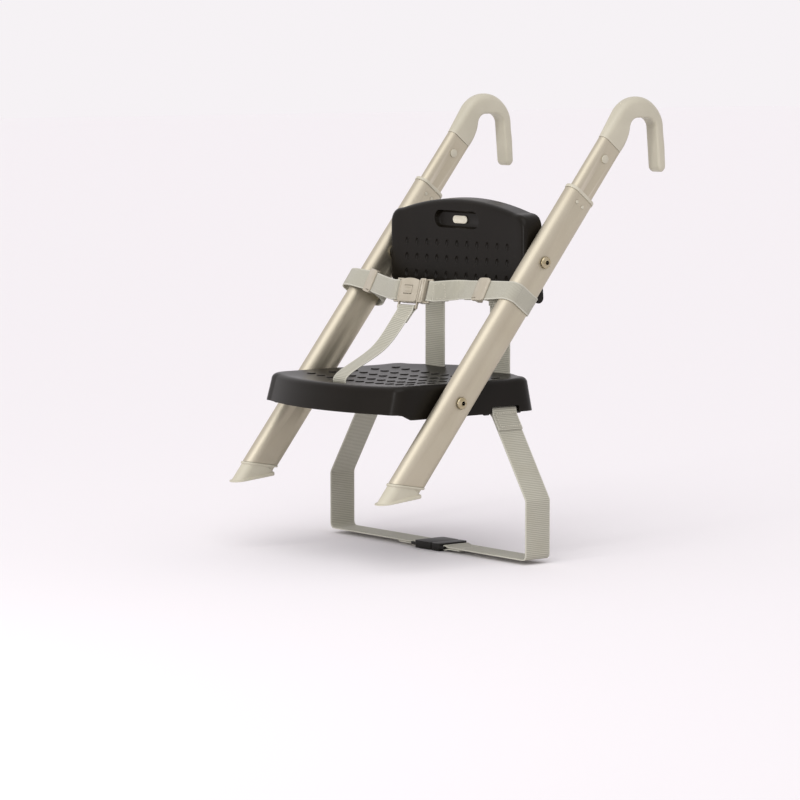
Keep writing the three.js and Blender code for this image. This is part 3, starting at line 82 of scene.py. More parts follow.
# The legs' line, which most pieces are placed by. All sizes are in metres and all angles in
# degrees. A station is a place along a leg's line, an offset one behind it.
leg = {
    "lean": 51.3, "halfTrack": 0.145, "footY": 0.0254,
    "seatPivot": 0.1451, "backPivot": 0.3515, "hookSeam": 0.5283,
    "tubeWidth": 0.0215, "tubeDepth": 0.043, "innerWidth": 0.015, "innerDepth": 0.035,
    "panelGap": 0.00225, "clearance": 0.0003,
}
bothSides = ((-1, "left"), (1, "right"))
legUp = Vector((0, cos(radians(leg["lean"])), sin(radians(leg["lean"]))))
legBack = Vector((0, legUp.z, -legUp.y))
panelHalf = leg["halfTrack"] - leg["tubeWidth"] / 2 - leg["panelGap"]
across, backwards, upwards = Vector((1, 0, 0)), Vector((0, 1, 0)), Vector((0, 0, 1))
overrun = 0.006  # how far a cutting tool goes past what it cuts


def legPoint(x, offset, station):
    return Vector((x, leg["footY"], 0)) + legBack * offset + legUp * station


seatPivot = legPoint(0, 0, leg["seatPivot"])
backPivot = legPoint(0, 0, leg["backPivot"])


# Small tools for modelling by hand
def chooseOnly(piece, *others):
    bpy.ops.object.select_all(action="DESELECT")
    for each in (piece, *others):
        each.select_set(True)
    bpy.context.view_layer.objects.active = piece


def applied(piece, kind, **settings):
    chooseOnly(piece)
    modifier = piece.modifiers.new(kind, kind)
    for setting, value in settings.items():
        setattr(modifier, setting, value)
    bpy.ops.object.modifier_apply(modifier=modifier.name)
    return piece


def softened(piece, width, angle, segments=2):
    return applied(piece, "BEVEL", width=width, segments=segments, limit_method="ANGLE",
                   angle_limit=radians(angle))


def joined(piece, *others):
    if others:
        chooseOnly(piece, *others)
        bpy.ops.object.join()
    return piece


def smoothed(piece, angle=40):
    chooseOnly(piece)
    bpy.ops.object.shade_smooth_by_angle(angle=radians(angle))
    return piece


def moved(piece, matrix):
    piece.data.transform(matrix)
    return piece


def copied(piece, name):
    twin = piece.copy()
    twin.data = piece.data.copy()
    twin.name = twin.data.name = name
    bpy.context.scene.collection.objects.link(twin)
    return twin


def added(operator, name, **settings):
    bpy.ops.object.select_all(action="DESELECT")
    operator(**settings)
    thing = bpy.context.object
    thing.name = thing.data.name = name
    return thing


def moveRing(piece, ring, row):
    mesh = bmesh.from_edit_mesh(piece.data)
    place, line = mesh.verts.layers.int["place"], mesh.verts.layers.int["line"]
    for vert in mesh.verts:
        if vert.select:
            vert.co = ring[vert[place]]
            vert[line] = row
    bmesh.update_edit_mesh(piece.data)


def closeRow(piece, row):
    mesh = bmesh.from_edit_mesh(piece.data)
    line = mesh.verts.layers.int["line"]
    for vert in mesh.verts:
        vert.select = vert[line] == row
    mesh.select_flush(True)
    for edge in mesh.edges:
        edge.select = all(vert[line] == row for vert in edge.verts)
    bmesh.update_edit_mesh(piece.data)
    bpy.ops.mesh.edge_face_add()


# A skin drawn on from ring to ring: one circle, extruded and put in its next place each time.
# A ring whose points are all one place draws the skin in to a tip.
def skin(name, rings, closed=True):
    piece = added(bpy.ops.mesh.primitive_circle_add, name, vertices=len(rings[0]))
    bpy.ops.object.mode_set(mode="EDIT")
    mesh = bmesh.from_edit_mesh(piece.data)
    mesh.verts.layers.int.new("place")
    mesh.verts.layers.int.new("line")
    place = mesh.verts.layers.int["place"]
    for number, vert in enumerate(mesh.verts):
        vert[place] = number
    for row, ring in enumerate(rings):
        if row:
            bpy.ops.mesh.extrude_edges_indiv()
        moveRing(piece, ring, row)
    if closed:
        closeRow(piece, len(rings) - 1)
        closeRow(piece, 0)
    bpy.ops.mesh.select_all(action="SELECT")
    bpy.ops.mesh.remove_doubles(threshold=0.000001)
    bpy.ops.mesh.normals_make_consistent(inside=False)
    bpy.ops.object.mode_set(mode="OBJECT")
    return piece


# A turned form along x, from pairs of x and radius
def spun(name, profile, y=0, z=0, count=48):
    return skin(name, [[Vector((x, y + radius * cos(tau * i / count), z + radius * sin(tau * i / count)))
                        for i in range(count)] for x, radius in profile])


def barX(name, radius, start, end, y, z, count=48, round=0):
    piece = spun(name, ((start, radius), (end, radius)), y, z, count)
    return softened(piece, round, 60) if round else piece


def box(name, low, high, round=0):
    piece = added(bpy.ops.mesh.primitive_cube_add, name, size=1)
    low, high = Vector(low), Vector(high)
    moved(piece, Matrix.Translation((low + high) / 2) @ Matrix.Diagonal((*(high - low), 1)))
    return applied(piece, "BEVEL", width=round, segments=3, limit_method="NONE") if round else piece


# The tools are used up
def crossed(piece, operation, *tools):
    for tool in tools:
        applied(piece, "BOOLEAN", operation=operation, solver="EXACT", object=tool)
        bpy.data.objects.remove(tool)
    return piece


def cutAway(piece, *tools):
    return crossed(piece, "DIFFERENCE", *tools)


def arc(u, v, radius, start, end, steps):
    angles = [radians(start + (end - start) * i / steps) for i in range(steps + 1)]
    return [(u + radius * cos(a), v + radius * sin(a)) for a in angles]


def curveThrough(a, b, c, steps=12):
    a, b, c = Vector(a), Vector(b), Vector(c)
    shares = [i / steps for i in range(1, steps + 1)]
    return [tuple(a * (1 - s) ** 2 + b * 2 * s * (1 - s) + c * s * s) for s in shares]


# Places at equal steps along an open line, both ends with it
def evenAlong(line, steps):
    points = [Vector(p) for p in line]
    lengths = [0]
    for a, b in zip(points, points[1:]):
        lengths.append(lengths[-1] + (b - a).length)
    places, k = [], 0
    for i in range(steps + 1):
        goal = lengths[-1] * i / steps
        while k + 2 < len(lengths) and lengths[k + 1] < goal:
            k += 1
        run = lengths[k + 1] - lengths[k]
        places.append(points[k].lerp(points[k + 1], (goal - lengths[k]) / run if run else 0))
    return places


def evenRound(outline, count):
    return evenAlong([*outline, outline[0]], count)[:-1]


def turnedTo(*axes):
    return Matrix(axes).transposed().to_4x4()


# Materials
def linearColour(code):
    parts = [int(code[i:i + 2], 16) / 255 for i in (1, 3, 5)]
    return (*[p / 12.92 if p <= 0.04045 else ((p + 0.055) / 1.055) ** 2.4 for p in parts], 1)


def startMaterial(name, **constants):
    material = bpy.data.materials.new(name)
    material.use_nodes = True
    shader = material.node_tree.nodes["Principled BSDF"]
    for socket, value in constants.items():
        shader.inputs[socket.replace("_", " ")].default_value = value
    return material, material.node_tree, shader


def addNode(tree, kind, settings=None, **links):
    node = tree.nodes.new("ShaderNode" + kind)
    for setting, value in (settings or {}).items():
        setattr(node, setting, value)
    for name, value in links.items():
        socket = node.inputs[int(name[1:])] if name[1:].isdigit() else node.inputs[name.replace("_", " ")]
        if isinstance(value, bpy.types.NodeSocket):
            tree.links.new(value, socket)
        else:
            socket.default_value = value
    return node


def addNoise(tree, place, size, detail):
    return addNode(tree, "TexNoise", Vector=place, Scale=1 / size, Detail=detail).outputs["Fac"]


def addMath(tree, operation, *values, **settings):
    places = {f"_{i}": value for i, value in enumerate(values)}
    return addNode(tree, "Math", {"operation": operation, **settings}, **places).outputs[0]


def addRange(tree, value, fromMin, fromMax, toMin=0, toMax=1):
    limits = {"From_Min": fromMin, "From_Max": fromMax, "To_Min": toMin, "To_Max": toMax}
    return addNode(tree, "MapRange", Value=value, **limits).outputs["Result"]


def addTones(tree, value, *stops):
    node = addNode(tree, "ValToRGB", Fac=value)
    for element, (position, colour) in zip(node.color_ramp.elements, stops):
        element.position, element.color = position, linearColour(colour)
    return node.outputs["Color"]


def addMix(tree, share, below, colour):
    return addNode(tree, "Mix", {"data_type": "RGBA"}, _0=share, _6=below, _7=linearColour(colour)).outputs[2]


def addRelief(tree, shader, height, strength, distance):
    bump = addNode(tree, "Bump", Strength=strength, Distance=distance, Height=height)
    tree.links.new(bump.outputs["Normal"], shader.inputs["Normal"])


def tubeGrain(tree, place):
    acrossTube, alongTube = 0.0009, 0.03
    turned = addNode(tree, "Mapping", Vector=place, Rotation=(radians(90 - leg["lean"]), 0, 0))
    drawn = addNode(tree, "Mapping", Vector=turned.outputs["Vector"],
                    Scale=(1 / acrossTube, 1 / acrossTube, 1 / alongTube))
    return addNoise(tree, drawn.outputs["Vector"], 1, 3.0)


def leatherGrain(tree, place):
    cell = 0.0014
    return addNode(tree, "TexVoronoi", {"feature": "SMOOTH_F1"}, Vector=place, Scale=1 / cell,
                   Smoothness=0.6).outputs["Distance"]


# Each look: the shader's constants, a cloud's size and detail with the two tones that it mixes, a
# grain, the tone of rubbed edges with the sharpness where it starts and ends, the pattern that
# sets the roughness with its limits, and the pattern of the relief with its strength
looks = {
    # Anodised aluminium tube, extruded and then bead blasted: a satin champagne metal whose soft
    # grain runs faintly along the tube, with a slightly brighter line where edges have been rubbed
    "anodisedAluminium": {
        "shader": {"Roughness": 0.54, "Metallic": 1.0}, "cloud": (0.06, 2.0), "grain": tubeGrain,
        "tones": ((0.3, "#BAB29E"), (0.65, "#BFB8A5")), "rubbed": ("#D0C9B9", 0.53, 0.6),
        "rough": ("grain", 0.5, 0.58), "relief": ("grain", 0.12)},
    # Moulded polyamide of the hooks, feet and collars: an opaque grey-beige plastic with a fine
    # spark eroded skin, drawn coarser than it is so that it shows, and a soft even shine
    "mouldedPolyamide": {
        "shader": {"Roughness": 0.42, "IOR": 1.53}, "cloud": (0.035, 3.0), "grain": (0.0011, 2.0),
        "tones": ((0.3, "#BBB6A3"), (0.7, "#C3BEAB")), "rubbed": ("#CFCABA", 0.53, 0.62),
        "rough": ("grain", 0.36, 0.5), "relief": ("grain", 0.18)},
    # Moulded acetal of the buckle and sliders: warmer and harder than the polyamide, a little glossy
    "mouldedAcetal": {
        "shader": {"Roughness": 0.36, "IOR": 1.48}, "cloud": (0.012, 2.0), "grain": (0.0008, 2.0),
        "tones": ((0.3, "#ABA391"), (0.7, "#B3AB9A")), "rubbed": ("#C8C1B1", 0.56, 0.68),
        "rough": ("grain", 0.3, 0.42), "relief": ("grain", 0.1)},
    # Glossy moulded ABS of the bare label plate: an opaque cream with a smooth polished skin
    "creamAbs": {
        "shader": {"Roughness": 0.25, "IOR": 1.53}, "cloud": (0.004, 2.0),
        "tones": ((0.3, "#D3CDB9"), (0.7, "#DDD8C6")), "rough": ("cloud", 0.2, 0.3)},
    # Moulded polypropylene of the seat and backrest: brown-black, with a fine leather-like mould
    # texture, a satin shine and paler scuffs where edges and bumps are rubbed
    "mouldedPolypropylene": {
        "shader": {"Roughness": 0.3, "IOR": 1.49, "Specular_IOR_Level": 0.14},
        "cloud": (0.05, 4.0), "grain": leatherGrain,
        "tones": ((0.35, "#14110C"), (0.75, "#18140F")), "rubbed": ("#2B2721", 0.56, 0.7),
        "rough": ("cloud", 0.27, 0.38), "relief": ("grain", 0.16)},
    # Matt polypropylene of the hidden buckle and guide shoes: plain black, with a faint grain
    "mattPolypropylene": {
        "shader": {"Roughness": 0.5, "IOR": 1.49, "Specular_IOR_Level": 0.2}, "cloud": (0.0009, 2.0),
        "tones": ((0.3, "#161412"), (0.7, "#1D1B18")), "relief": ("cloud", 0.2)},
    # Steel with a yellow zinc plate: a bright metal with a brassy, slightly uneven tint
    "yellowZincPlate": {
        "shader": {"Roughness": 0.28, "Metallic": 1.0}, "cloud": (0.004, 3.0),
        "tones": ((0.35, "#A29575"), (0.65, "#B5AA90")), "rough": ("cloud", 0.2, 0.36)},
    # Natural nylon of the pivot washers: milky white and waxy
    "naturalNylon": {
        "shader": {"Roughness": 0.45, "IOR": 1.53}, "cloud": (0.006, 2.0),
        "tones": ((0.3, "#D6D1C3"), (0.7, "#E3DFD3"))},
    # Sewing thread of bonded nylon: a shade lighter than the webbing, its twist showing as a ripple
    "bondedThread": {
        "shader": {"Roughness": 0.55, "IOR": 1.53}, "cloud": (0.0006, 1.0),
        "tones": ((0.35, "#BDB8A6"), (0.65, "#DAD6C8"))},
}


def makeMaterial(name, look):
    material, tree, shader = startMaterial(name, **look["shader"])
    place = addNode(tree, "TexCoord").outputs["Object"]
    patterns = {"cloud": addNoise(tree, place, *look["cloud"])}
    grain = look.get("grain")
    if grain:
        patterns["grain"] = grain(tree, place) if callable(grain) else addNoise(tree, place, *grain)
    colour = addTones(tree, patterns["cloud"], *look["tones"])
    if "rubbed" in look:
        rubbed, start, end = look["rubbed"]
        edge = addNode(tree, "NewGeometry").outputs["Pointiness"]
        colour = addMix(tree, addRange(tree, edge, start, end), colour, rubbed)
    tree.links.new(colour, shader.inputs["Base Color"])
    if "rough" in look:
        pattern, low, high = look["rough"]
        tree.links.new(addRange(tree, patterns[pattern], 0, 1, low, high), shader.inputs["Roughness"])
    if "relief" in look:
        pattern, strength = look["relief"]
        addRelief(tree, shader, patterns[pattern], strength, 0.0001)
    return material


# Polyester webbing, woven: greige yarns with a cross rib at each pick, a plain firmer selvedge
# at both edges and no gloss. Painted shade darkens the yarn's tone in the valleys between the ribs.
# Its map runs in metres, across from the strap's middle and along it.
def polyesterWebbing(name, width, ribPitch):
    # The valley tone is painted shade: the yarn darkened in the hollows between the ribs
    look = {"rib": "#BAB8A9", "valleyShade": "#8E8B7C", "selvedge": "#BFBDAF", "dirt": "#A29E8C",
            "warpPitch": 0.0011, "warpShare": 0.35, "selvedgeWidth": 0.0017, "selvedgeBlend": 0.0004,
            "dirtSize": 0.02, "dirtMost": 0.45, "fuzzSize": 0.0007, "fuzzShare": 0.3}
    material, tree, shader = startMaterial(name, Roughness=0.85, IOR=1.5, Sheen_Weight=0.15,
                                           Sheen_Roughness=0.6)
    unrolled = addNode(tree, "UVMap", {"uv_map": "unrolled"}).outputs["UV"]
    parts = addNode(tree, "SeparateXYZ", Vector=unrolled).outputs
    ribs = addMath(tree, "SINE", addMath(tree, "MULTIPLY", parts["Y"], tau / ribPitch))
    warps = addMath(tree, "SINE", addMath(tree, "MULTIPLY", parts["X"], tau / look["warpPitch"]))
    woven = addMath(tree, "MULTIPLY_ADD", warps, look["warpShare"], ribs)
    height = addRange(tree, woven, -1.3, 1.3)
    # Painted shade by the weave's height: the yarn's tone on the rib crests, darker in the valleys
    yarn = addTones(tree, height, (0.1, look["valleyShade"]), (0.75, look["rib"]))
    place = addNode(tree, "TexCoord").outputs["Object"]
    soiled = addRange(tree, addNoise(tree, place, look["dirtSize"], 4.0), 0.45, 0.8, 0, look["dirtMost"])
    # Cloudy dirt mixed over the yarn, which already carries its painted valley shade
    soiledAndShaded = addMix(tree, soiled, yarn, look["dirt"])
    edge = width / 2 - look["selvedgeWidth"]
    border = addRange(tree, addMath(tree, "ABSOLUTE", parts["X"]), edge, edge + look["selvedgeBlend"])
    tree.links.new(addMix(tree, border, soiledAndShaded, look["selvedge"]), shader.inputs["Base Color"])
    fuzz = addNoise(tree, place, look["fuzzSize"], 2.0)
    addRelief(tree, shader, addMath(tree, "MULTIPLY_ADD", fuzz, look["fuzzShare"], height), 0.6, 0.0003)
    return material


(aluminium, polyamide, acetal, creamPlastic, polypropylene, mattBlack, zinc, nylon,
 thread) = (makeMaterial(name, look) for name, look in looks.items())
webbing = {"thickness": 0.0014, "plyGap": 0.0005, "eyeNeck": 2.2, "wide": 0.038, "narrow": 0.025,
           "edgeRound": 0.0006, "step": 0.001, "ribPitch": 0.0023, "lapRibPitch": 0.0014}
wideRibbed = polyesterWebbing("polyesterWebbingWide", webbing["wide"], webbing["ribPitch"])
narrowRibbed = polyesterWebbing("polyesterWebbingNarrow", webbing["narrow"], webbing["ribPitch"])
lapWoven = polyesterWebbing("polyesterWebbingLap", webbing["narrow"], webbing["lapRibPitch"])
print("materials made")


def dressed(piece, material, body, node):
    piece.data.materials.clear()
    piece.data.materials.append(material)
    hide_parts(node)
    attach(piece, body)
    return piece


def pieceName(node):
    first, *rest = node.split("_")
    return first + "".join(word.capitalize() for word in rest)


# A finer copy of a node: its triangles are merged into whole faces and its edges are rounded
def finerCopy(node, round=0):
    piece = copied(frame["nodes"][node], pieceName(node))
    piece.parent = None
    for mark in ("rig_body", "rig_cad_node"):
        del piece[mark]
    chooseOnly(piece)
    bpy.ops.object.mode_set(mode="EDIT")
    bpy.ops.mesh.select_all(action="SELECT")
    bpy.ops.mesh.remove_doubles(threshold=0.00001)
    bpy.ops.mesh.dissolve_limited(angle_limit=radians(1))
    bpy.ops.object.mode_set(mode="OBJECT")
    return smoothed(softened(piece, round, 30) if round else piece)


# Hook: sections from its inner to its outer edge, along the neck, the arch and the tail
hook = {
    "throatAhead": 0.0251, "throat": 0.0432, "crownRise": 0.0325, "crown": 0.0257,
    "innerRadius": 0.014, "outerRadius": 0.041, "outerAhead": 0.0162, "width": 0.021,
    "seamProud": 0.0005, "neckLead": 0.01, "neckSteps": 14, "archSteps": 44,
    "tailDrop": 0.0668, "outerLean": 0.0029, "innerLean": 0.004, "tailSteps": 11,
    "tipRadius": 0.007, "roundOuter": 0.009, "roundInner": 0.003,
    "lugRadius": 0.0052, "lugDrop": 0.0213, "lugProud": 0.0009, "lugEdge": 0.0004,
}


def hookSection(x, outer, inner, width, roundOuter, roundInner):
    depth = (outer - inner).length
    outward = (outer - inner).normalized()
    most = min(width, depth) / 2
    ring = []
    for quarter, (sideX, radius) in enumerate(((1, roundOuter), (-1, roundOuter),
                                               (-1, roundInner), (1, roundInner))):
        radius = min(radius, most)
        middleOut = depth - radius if quarter < 2 else radius
        corner = arc(sideX * (width / 2 - radius), middleOut, radius, 90 * quarter, 90 * quarter + 89, 8)
        ring += [inner + outward * out + across * (x + shift) for shift, out in corner]
    return ring


def makeHook(name, side):
    x = side * leg["halfTrack"]
    seam = legPoint(0, 0, leg["hookSeam"] + leg["clearance"])
    front = seam.y + hook["throatAhead"]
    rear = front + hook["throat"]
    flat = seam.z + hook["crownRise"]
    radius = hook["innerRadius"]
    spring = flat - radius
    middleY = front + hook["outerAhead"]
    middleZ = flat + hook["crown"] - hook["outerRadius"]
    tailTop = rear + (hook["crown"] + hook["outerRadius"]) / 5
    last = degrees(acos(min(1, (tailTop - middleY) / hook["outerRadius"])))
    outerArc = arc(middleY, middleZ, hook["outerRadius"], 90 + leg["lean"], last, hook["archSteps"])
    innerPath = (arc(front + radius, spring, radius, 180, 90, 24)
                 + arc(rear - radius, spring, radius, 90, 0, 24))
    innerArc = evenAlong(innerPath, hook["archSteps"])
    seamOuter = seam + legBack * (-leg["innerDepth"] / 2 - hook["seamProud"])
    seamInner = seam + legBack * (leg["innerDepth"] / 2)
    a, b, c, d = (seamInner, seamInner + legUp * hook["neckLead"],
                  Vector((0, front, spring - hook["neckLead"])), Vector((0, front, spring)))
    neckEnd = Vector((0, *outerArc[0]))
    seamWidth = leg["innerWidth"] + 2 * hook["seamProud"]
    rings = []
    for i in range(hook["neckSteps"]):
        s = i / hook["neckSteps"]
        inner = a * (1 - s) ** 3 + b * 3 * s * (1 - s) ** 2 + c * 3 * s * s * (1 - s) + d * s ** 3
        width, roundOuter, roundInner = (start + (end - start) * s for start, end in (
            (seamWidth, hook["width"]), (seamWidth / 2, hook["roundOuter"]),
            (seamWidth / 2, hook["roundInner"])))
        rings.append(hookSection(x, seamOuter.lerp(neckEnd, s), inner, width, roundOuter, roundInner))
    for outer, inner in zip(outerArc, innerArc):
        rings.append(hookSection(x, Vector((0, *outer)), Vector((0, *inner)), hook["width"],
                                 hook["roundOuter"], hook["roundInner"]))
    outerTop, innerTop = Vector((0, *outerArc[-1])), Vector((0, rear, spring))
    tip = flat - hook["tailDrop"] + hook["tipRadius"]
    outerLow = Vector((0, outerTop.y + hook["outerLean"], tip))
    innerLow = Vector((0, innerTop.y + hook["innerLean"], tip))
    for i in range(1, hook["tailSteps"]):
        s = i / hook["tailSteps"]
        roundOuter = hook["roundOuter"] * (1 - min(s / 0.5, 1) / 2)
        rings.append(hookSection(x, outerTop.lerp(outerLow, s), innerTop.lerp(innerLow, s), hook["width"],
                                 roundOuter, hook["roundInner"]))
    middle = outerLow.lerp(innerLow, 1 / 2)
    for angle in range(0, 85, 12):
        shrink = cos(radians(angle))
        drop = -upwards * hook["tipRadius"] * sin(radians(angle))
        width = hook["width"] - hook["tipRadius"] * (1 - shrink)
        rings.append(hookSection(x, middle.lerp(outerLow, shrink) + drop, middle.lerp(innerLow, shrink) + drop,
                                 width, hook["roundOuter"] / 2, hook["roundInner"]))
    half = leg["innerWidth"] / 2 + hook["lugProud"]
    lugPlace = legPoint(0, 0, leg["hookSeam"] - hook["lugDrop"])
    lug = barX("hookLug", hook["lugRadius"], x - half, x + half, lugPlace.y, lugPlace.z,
               round=hook["lugEdge"])
    return smoothed(joined(skin(name, rings), lug), 50)


for side, name in bothSides:
    dressed(makeHook(name + "Hook", side), polyamide, name + "_extension", name + "_hook")
print("hooks made")

# Foot: the node's form with every edge softened as a moulding's is
foot = {"voxel": 0.0006, "smoothing": 0.5, "rounds": 5}
for _, name in bothSides:
    piece = finerCopy(name + "_foot")
    applied(piece, "REMESH", mode="VOXEL", voxel_size=foot["voxel"])
    applied(piece, "SMOOTH", factor=foot["smoothing"], iterations=foot["rounds"])
    dressed(smoothed(piece, 60), polyamide, "frame", name + "_foot")
print("feet made")

# Tubes and collars, drawn upright in the leg's own frame and then leaned: flat sides, round edges
bolt = {
    "radius": 0.004, "headRadius": 0.0072, "headHeight": 0.0038, "headEdge": 0.001, "crownShare": 0.42,
    "underEdge": 0.0004, "rimEdge": 0.0003,
    "socketRadius": 0.0027, "socketDepth": 0.0014, "edge": 0.00018,
    "tipRadius": 0.0034, "chamfer": 0.0006,
    "shankEnd": 0.1178,  # inside the nut, by its thread's last turn
}
tube = {
    "wall": 0.0015, "innerWall": 0.0013, "collarBase": 0.4495, "innerBase": 0.285,
    "slideOut": 0.035, "slideIn": 0.047, "ringStation": 0.0258, "ringSlope": 10, "endRound": 0.00025,
}
collar = {
    "flange": 0.004, "proud": 0.0008, "sleeve": 0.034, "round": 0.0005,
    "lugRadius": 0.0022, "lugSpacing": 0.011, "lugDrop": 0.011, "lugProud": 0.0005, "lugEdge": 0.0004,
}


def stadium(width, depth, station):
    radius = width / 2
    straight = depth / 2 - radius
    line = arc(0, straight, radius, 0, 180, 32) + arc(0, -straight, radius, 180, 360, 32)
    return [Vector((x, y, station)) for x, y in line]


def stadiumBar(name, width, depth, low, high):
    return skin(name, [stadium(width, depth, low), stadium(width, depth, high)])


def leaned(piece, side):
    lean = Matrix.Rotation(radians(leg["lean"]) - pi / 2, 4, "X")
    return moved(piece, Matrix.Translation((side * leg["halfTrack"], leg["footY"], 0)) @ lean)


def endsRounded(piece):
    return smoothed(softened(piece, tube["endRound"], 55), 35)


def collarLugs(name, half, radius):
    station = tube["collarBase"] - collar["lugDrop"]
    return [barX(name, radius, -half, half, end * collar["lugSpacing"] / 2, station, 32) for end in (-1, 1)]


def makeLowerTube(name):
    width, depth, wall = leg["tubeWidth"], leg["tubeDepth"], tube["wall"]
    piece = stadiumBar(name, width, depth, 0, tube["collarBase"] - leg["clearance"])
    reach = depth + overrun
    slope = Matrix.Rotation(radians(90 - leg["lean"] - tube["ringSlope"]), 4, "X")
    below = moved(box("below", (-reach, -reach, -2 * reach), (reach, reach, leg["clearance"])),
                  Matrix.Translation((0, 0, tube["ringStation"])) @ slope)
    bore = stadiumBar("bore", width - 2 * wall, depth - 2 * wall, -overrun, leg["hookSeam"])
    holes = [barX("hole", bolt["radius"] + leg["clearance"], -width, width, 0, station)
             for station in (leg["seatPivot"], leg["backPivot"])]
    holes += collarLugs("lugHole", width, collar["lugRadius"] + leg["clearance"] / 2)
    return endsRounded(cutAway(piece, below, bore, *holes))


def makeUpperTube(name):
    width, depth, wall = leg["innerWidth"], leg["innerDepth"], tube["innerWall"]
    piece = stadiumBar(name, width, depth, tube["innerBase"], leg["hookSeam"])
    bore = stadiumBar("bore", width - 2 * wall, depth - 2 * wall, tube["innerBase"] - overrun,
                      leg["hookSeam"] + overrun)
    half = bolt["radius"] + leg["clearance"]
    low, high = leg["backPivot"] - tube["slideOut"], leg["backPivot"] + tube["slideIn"]
    slot = box("slot", (-width, -half, low), (width, half, high))
    ends = [barX("slotEnd", half, -width, width, 0, station) for station in (low, high)]
    lugHole = barX("lugHole", hook["lugRadius"] + leg["clearance"] / 2, -width, width, 0,
                   leg["hookSeam"] - hook["lugDrop"])
    return endsRounded(cutAway(piece, bore, slot, *ends, lugHole))


def makeCollar(name):
    width, depth = leg["tubeWidth"], leg["tubeDepth"]
    inset, grow = 2 * (tube["wall"] + leg["clearance"]), 2 * collar["proud"]
    base, top, round = tube["collarBase"], tube["collarBase"] + collar["flange"], collar["round"]
    foot = base - collar["sleeve"]
    steps = ((-inset, foot), (-inset, base), (grow - 2 * round, base),
             (grow - 0.6 * round, base + 0.3 * round), (grow, base + round), (grow, top - round),
             (grow - 0.6 * round, top - 0.3 * round), (grow - 2 * round, top))
    piece = skin(name, [stadium(width + extra, depth + extra, z) for extra, z in steps])

    def bored(what):
        gap = 2 * leg["clearance"]
        return cutAway(what, stadiumBar("bore", leg["innerWidth"] + gap, leg["innerDepth"] + gap,
                                        foot - overrun, top + overrun))

    bored(piece)
    for lug in collarLugs("lug", width / 2 + collar["lugProud"], collar["lugRadius"]):
        joined(piece, bored(softened(lug, collar["lugEdge"], 60)))
    return smoothed(piece)


for side, name in bothSides:
    for make, form, material, slot, body in (
            (makeLowerTube, "lower_tube", aluminium, "aluminium", "frame"),
            (makeUpperTube, "upper_tube", aluminium, "aluminium", name + "_extension"),
            (makeCollar, "collar", polyamide, "grey_plastic", "frame")):
        node = f"{name}_{form}"
        dressed(leaned(make(pieceName(node)), side), material, body, node)
print("tubes and collars made")


# Small turned and moulded parts, taken from their solids with their edges rounded
rodEdge, mouldedEdge = 0.0003, 0.0004
steel, washer = (rodEdge, zinc, "zinc_steel"), (rodEdge, nylon, "nylon")
moulding = (mouldedEdge, mattBlack, "black_plastic")
parts = []
for _, name in bothSides:
    parts += [(f"{name}_{form}", body, *look) for form, body, look in (
        ("guide_shoe", name + "_extension", moulding), ("strap_bar", "seat", steel),
        ("back_rod", "backrest", steel), ("seat_rod", "seat", steel),
        ("seat_nut", "frame", steel), ("back_nut", "frame", steel),
        ("seat_washer", "frame", washer), ("back_washer", "frame", washer))]
parts += [("crotch_rod", "seat", *steel), ("chair_buckle_socket", "seat", *moulding),
          ("chair_buckle_plug", "chair_plug", *moulding)]
for node, body, rounding, material, slot in parts:
    dressed(finerCopy(node, rounding), material, body, node)
print("rods, nuts, washers and lower buckle made")


# Pivot bolt: a domed head outside the leg, turned in one with its shank, and a hexagonal socket
headStart = leg["halfTrack"] + leg["tubeWidth"] / 2 + leg["clearance"]
headEdge, headTop = headStart + bolt["headEdge"], headStart + bolt["headHeight"]
turning = [(bolt["shankEnd"], bolt["tipRadius"]), (bolt["shankEnd"] + bolt["chamfer"], bolt["radius"]),
           (headStart, bolt["radius"]), (headStart, bolt["headRadius"] - bolt["underEdge"]),
           (headStart + bolt["rimEdge"], bolt["headRadius"]), (headEdge, bolt["headRadius"])]
turning += [(headEdge + (headTop - headEdge) * sin(radians(a)), bolt["headRadius"] * cos(radians(a)))
            for a in range(10, 65, 6)]
turning.append((headTop, bolt["headRadius"] * bolt["crownShare"]))
masterBolt = spun("pivotBolt", turning, count=64)
cutAway(masterBolt, barX("socket", bolt["socketRadius"], headTop - bolt["socketDepth"],
                         headTop + overrun, 0, 0, count=6))
smoothed(softened(masterBolt, bolt["edge"], 50))
for side, name in bothSides:
    for pivot, panel in ((seatPivot, "seat"), (backPivot, "back")):
        node = f"{name}_{panel}_bolt"
        turn = Matrix.Rotation(pi if side < 0 else 0, 4, "Z")
        piece = moved(copied(masterBolt, pieceName(node)), Matrix.Translation(pivot) @ turn)
        dressed(piece, zinc, "frame", node)
bpy.data.objects.remove(masterBolt)
print("bolts made")


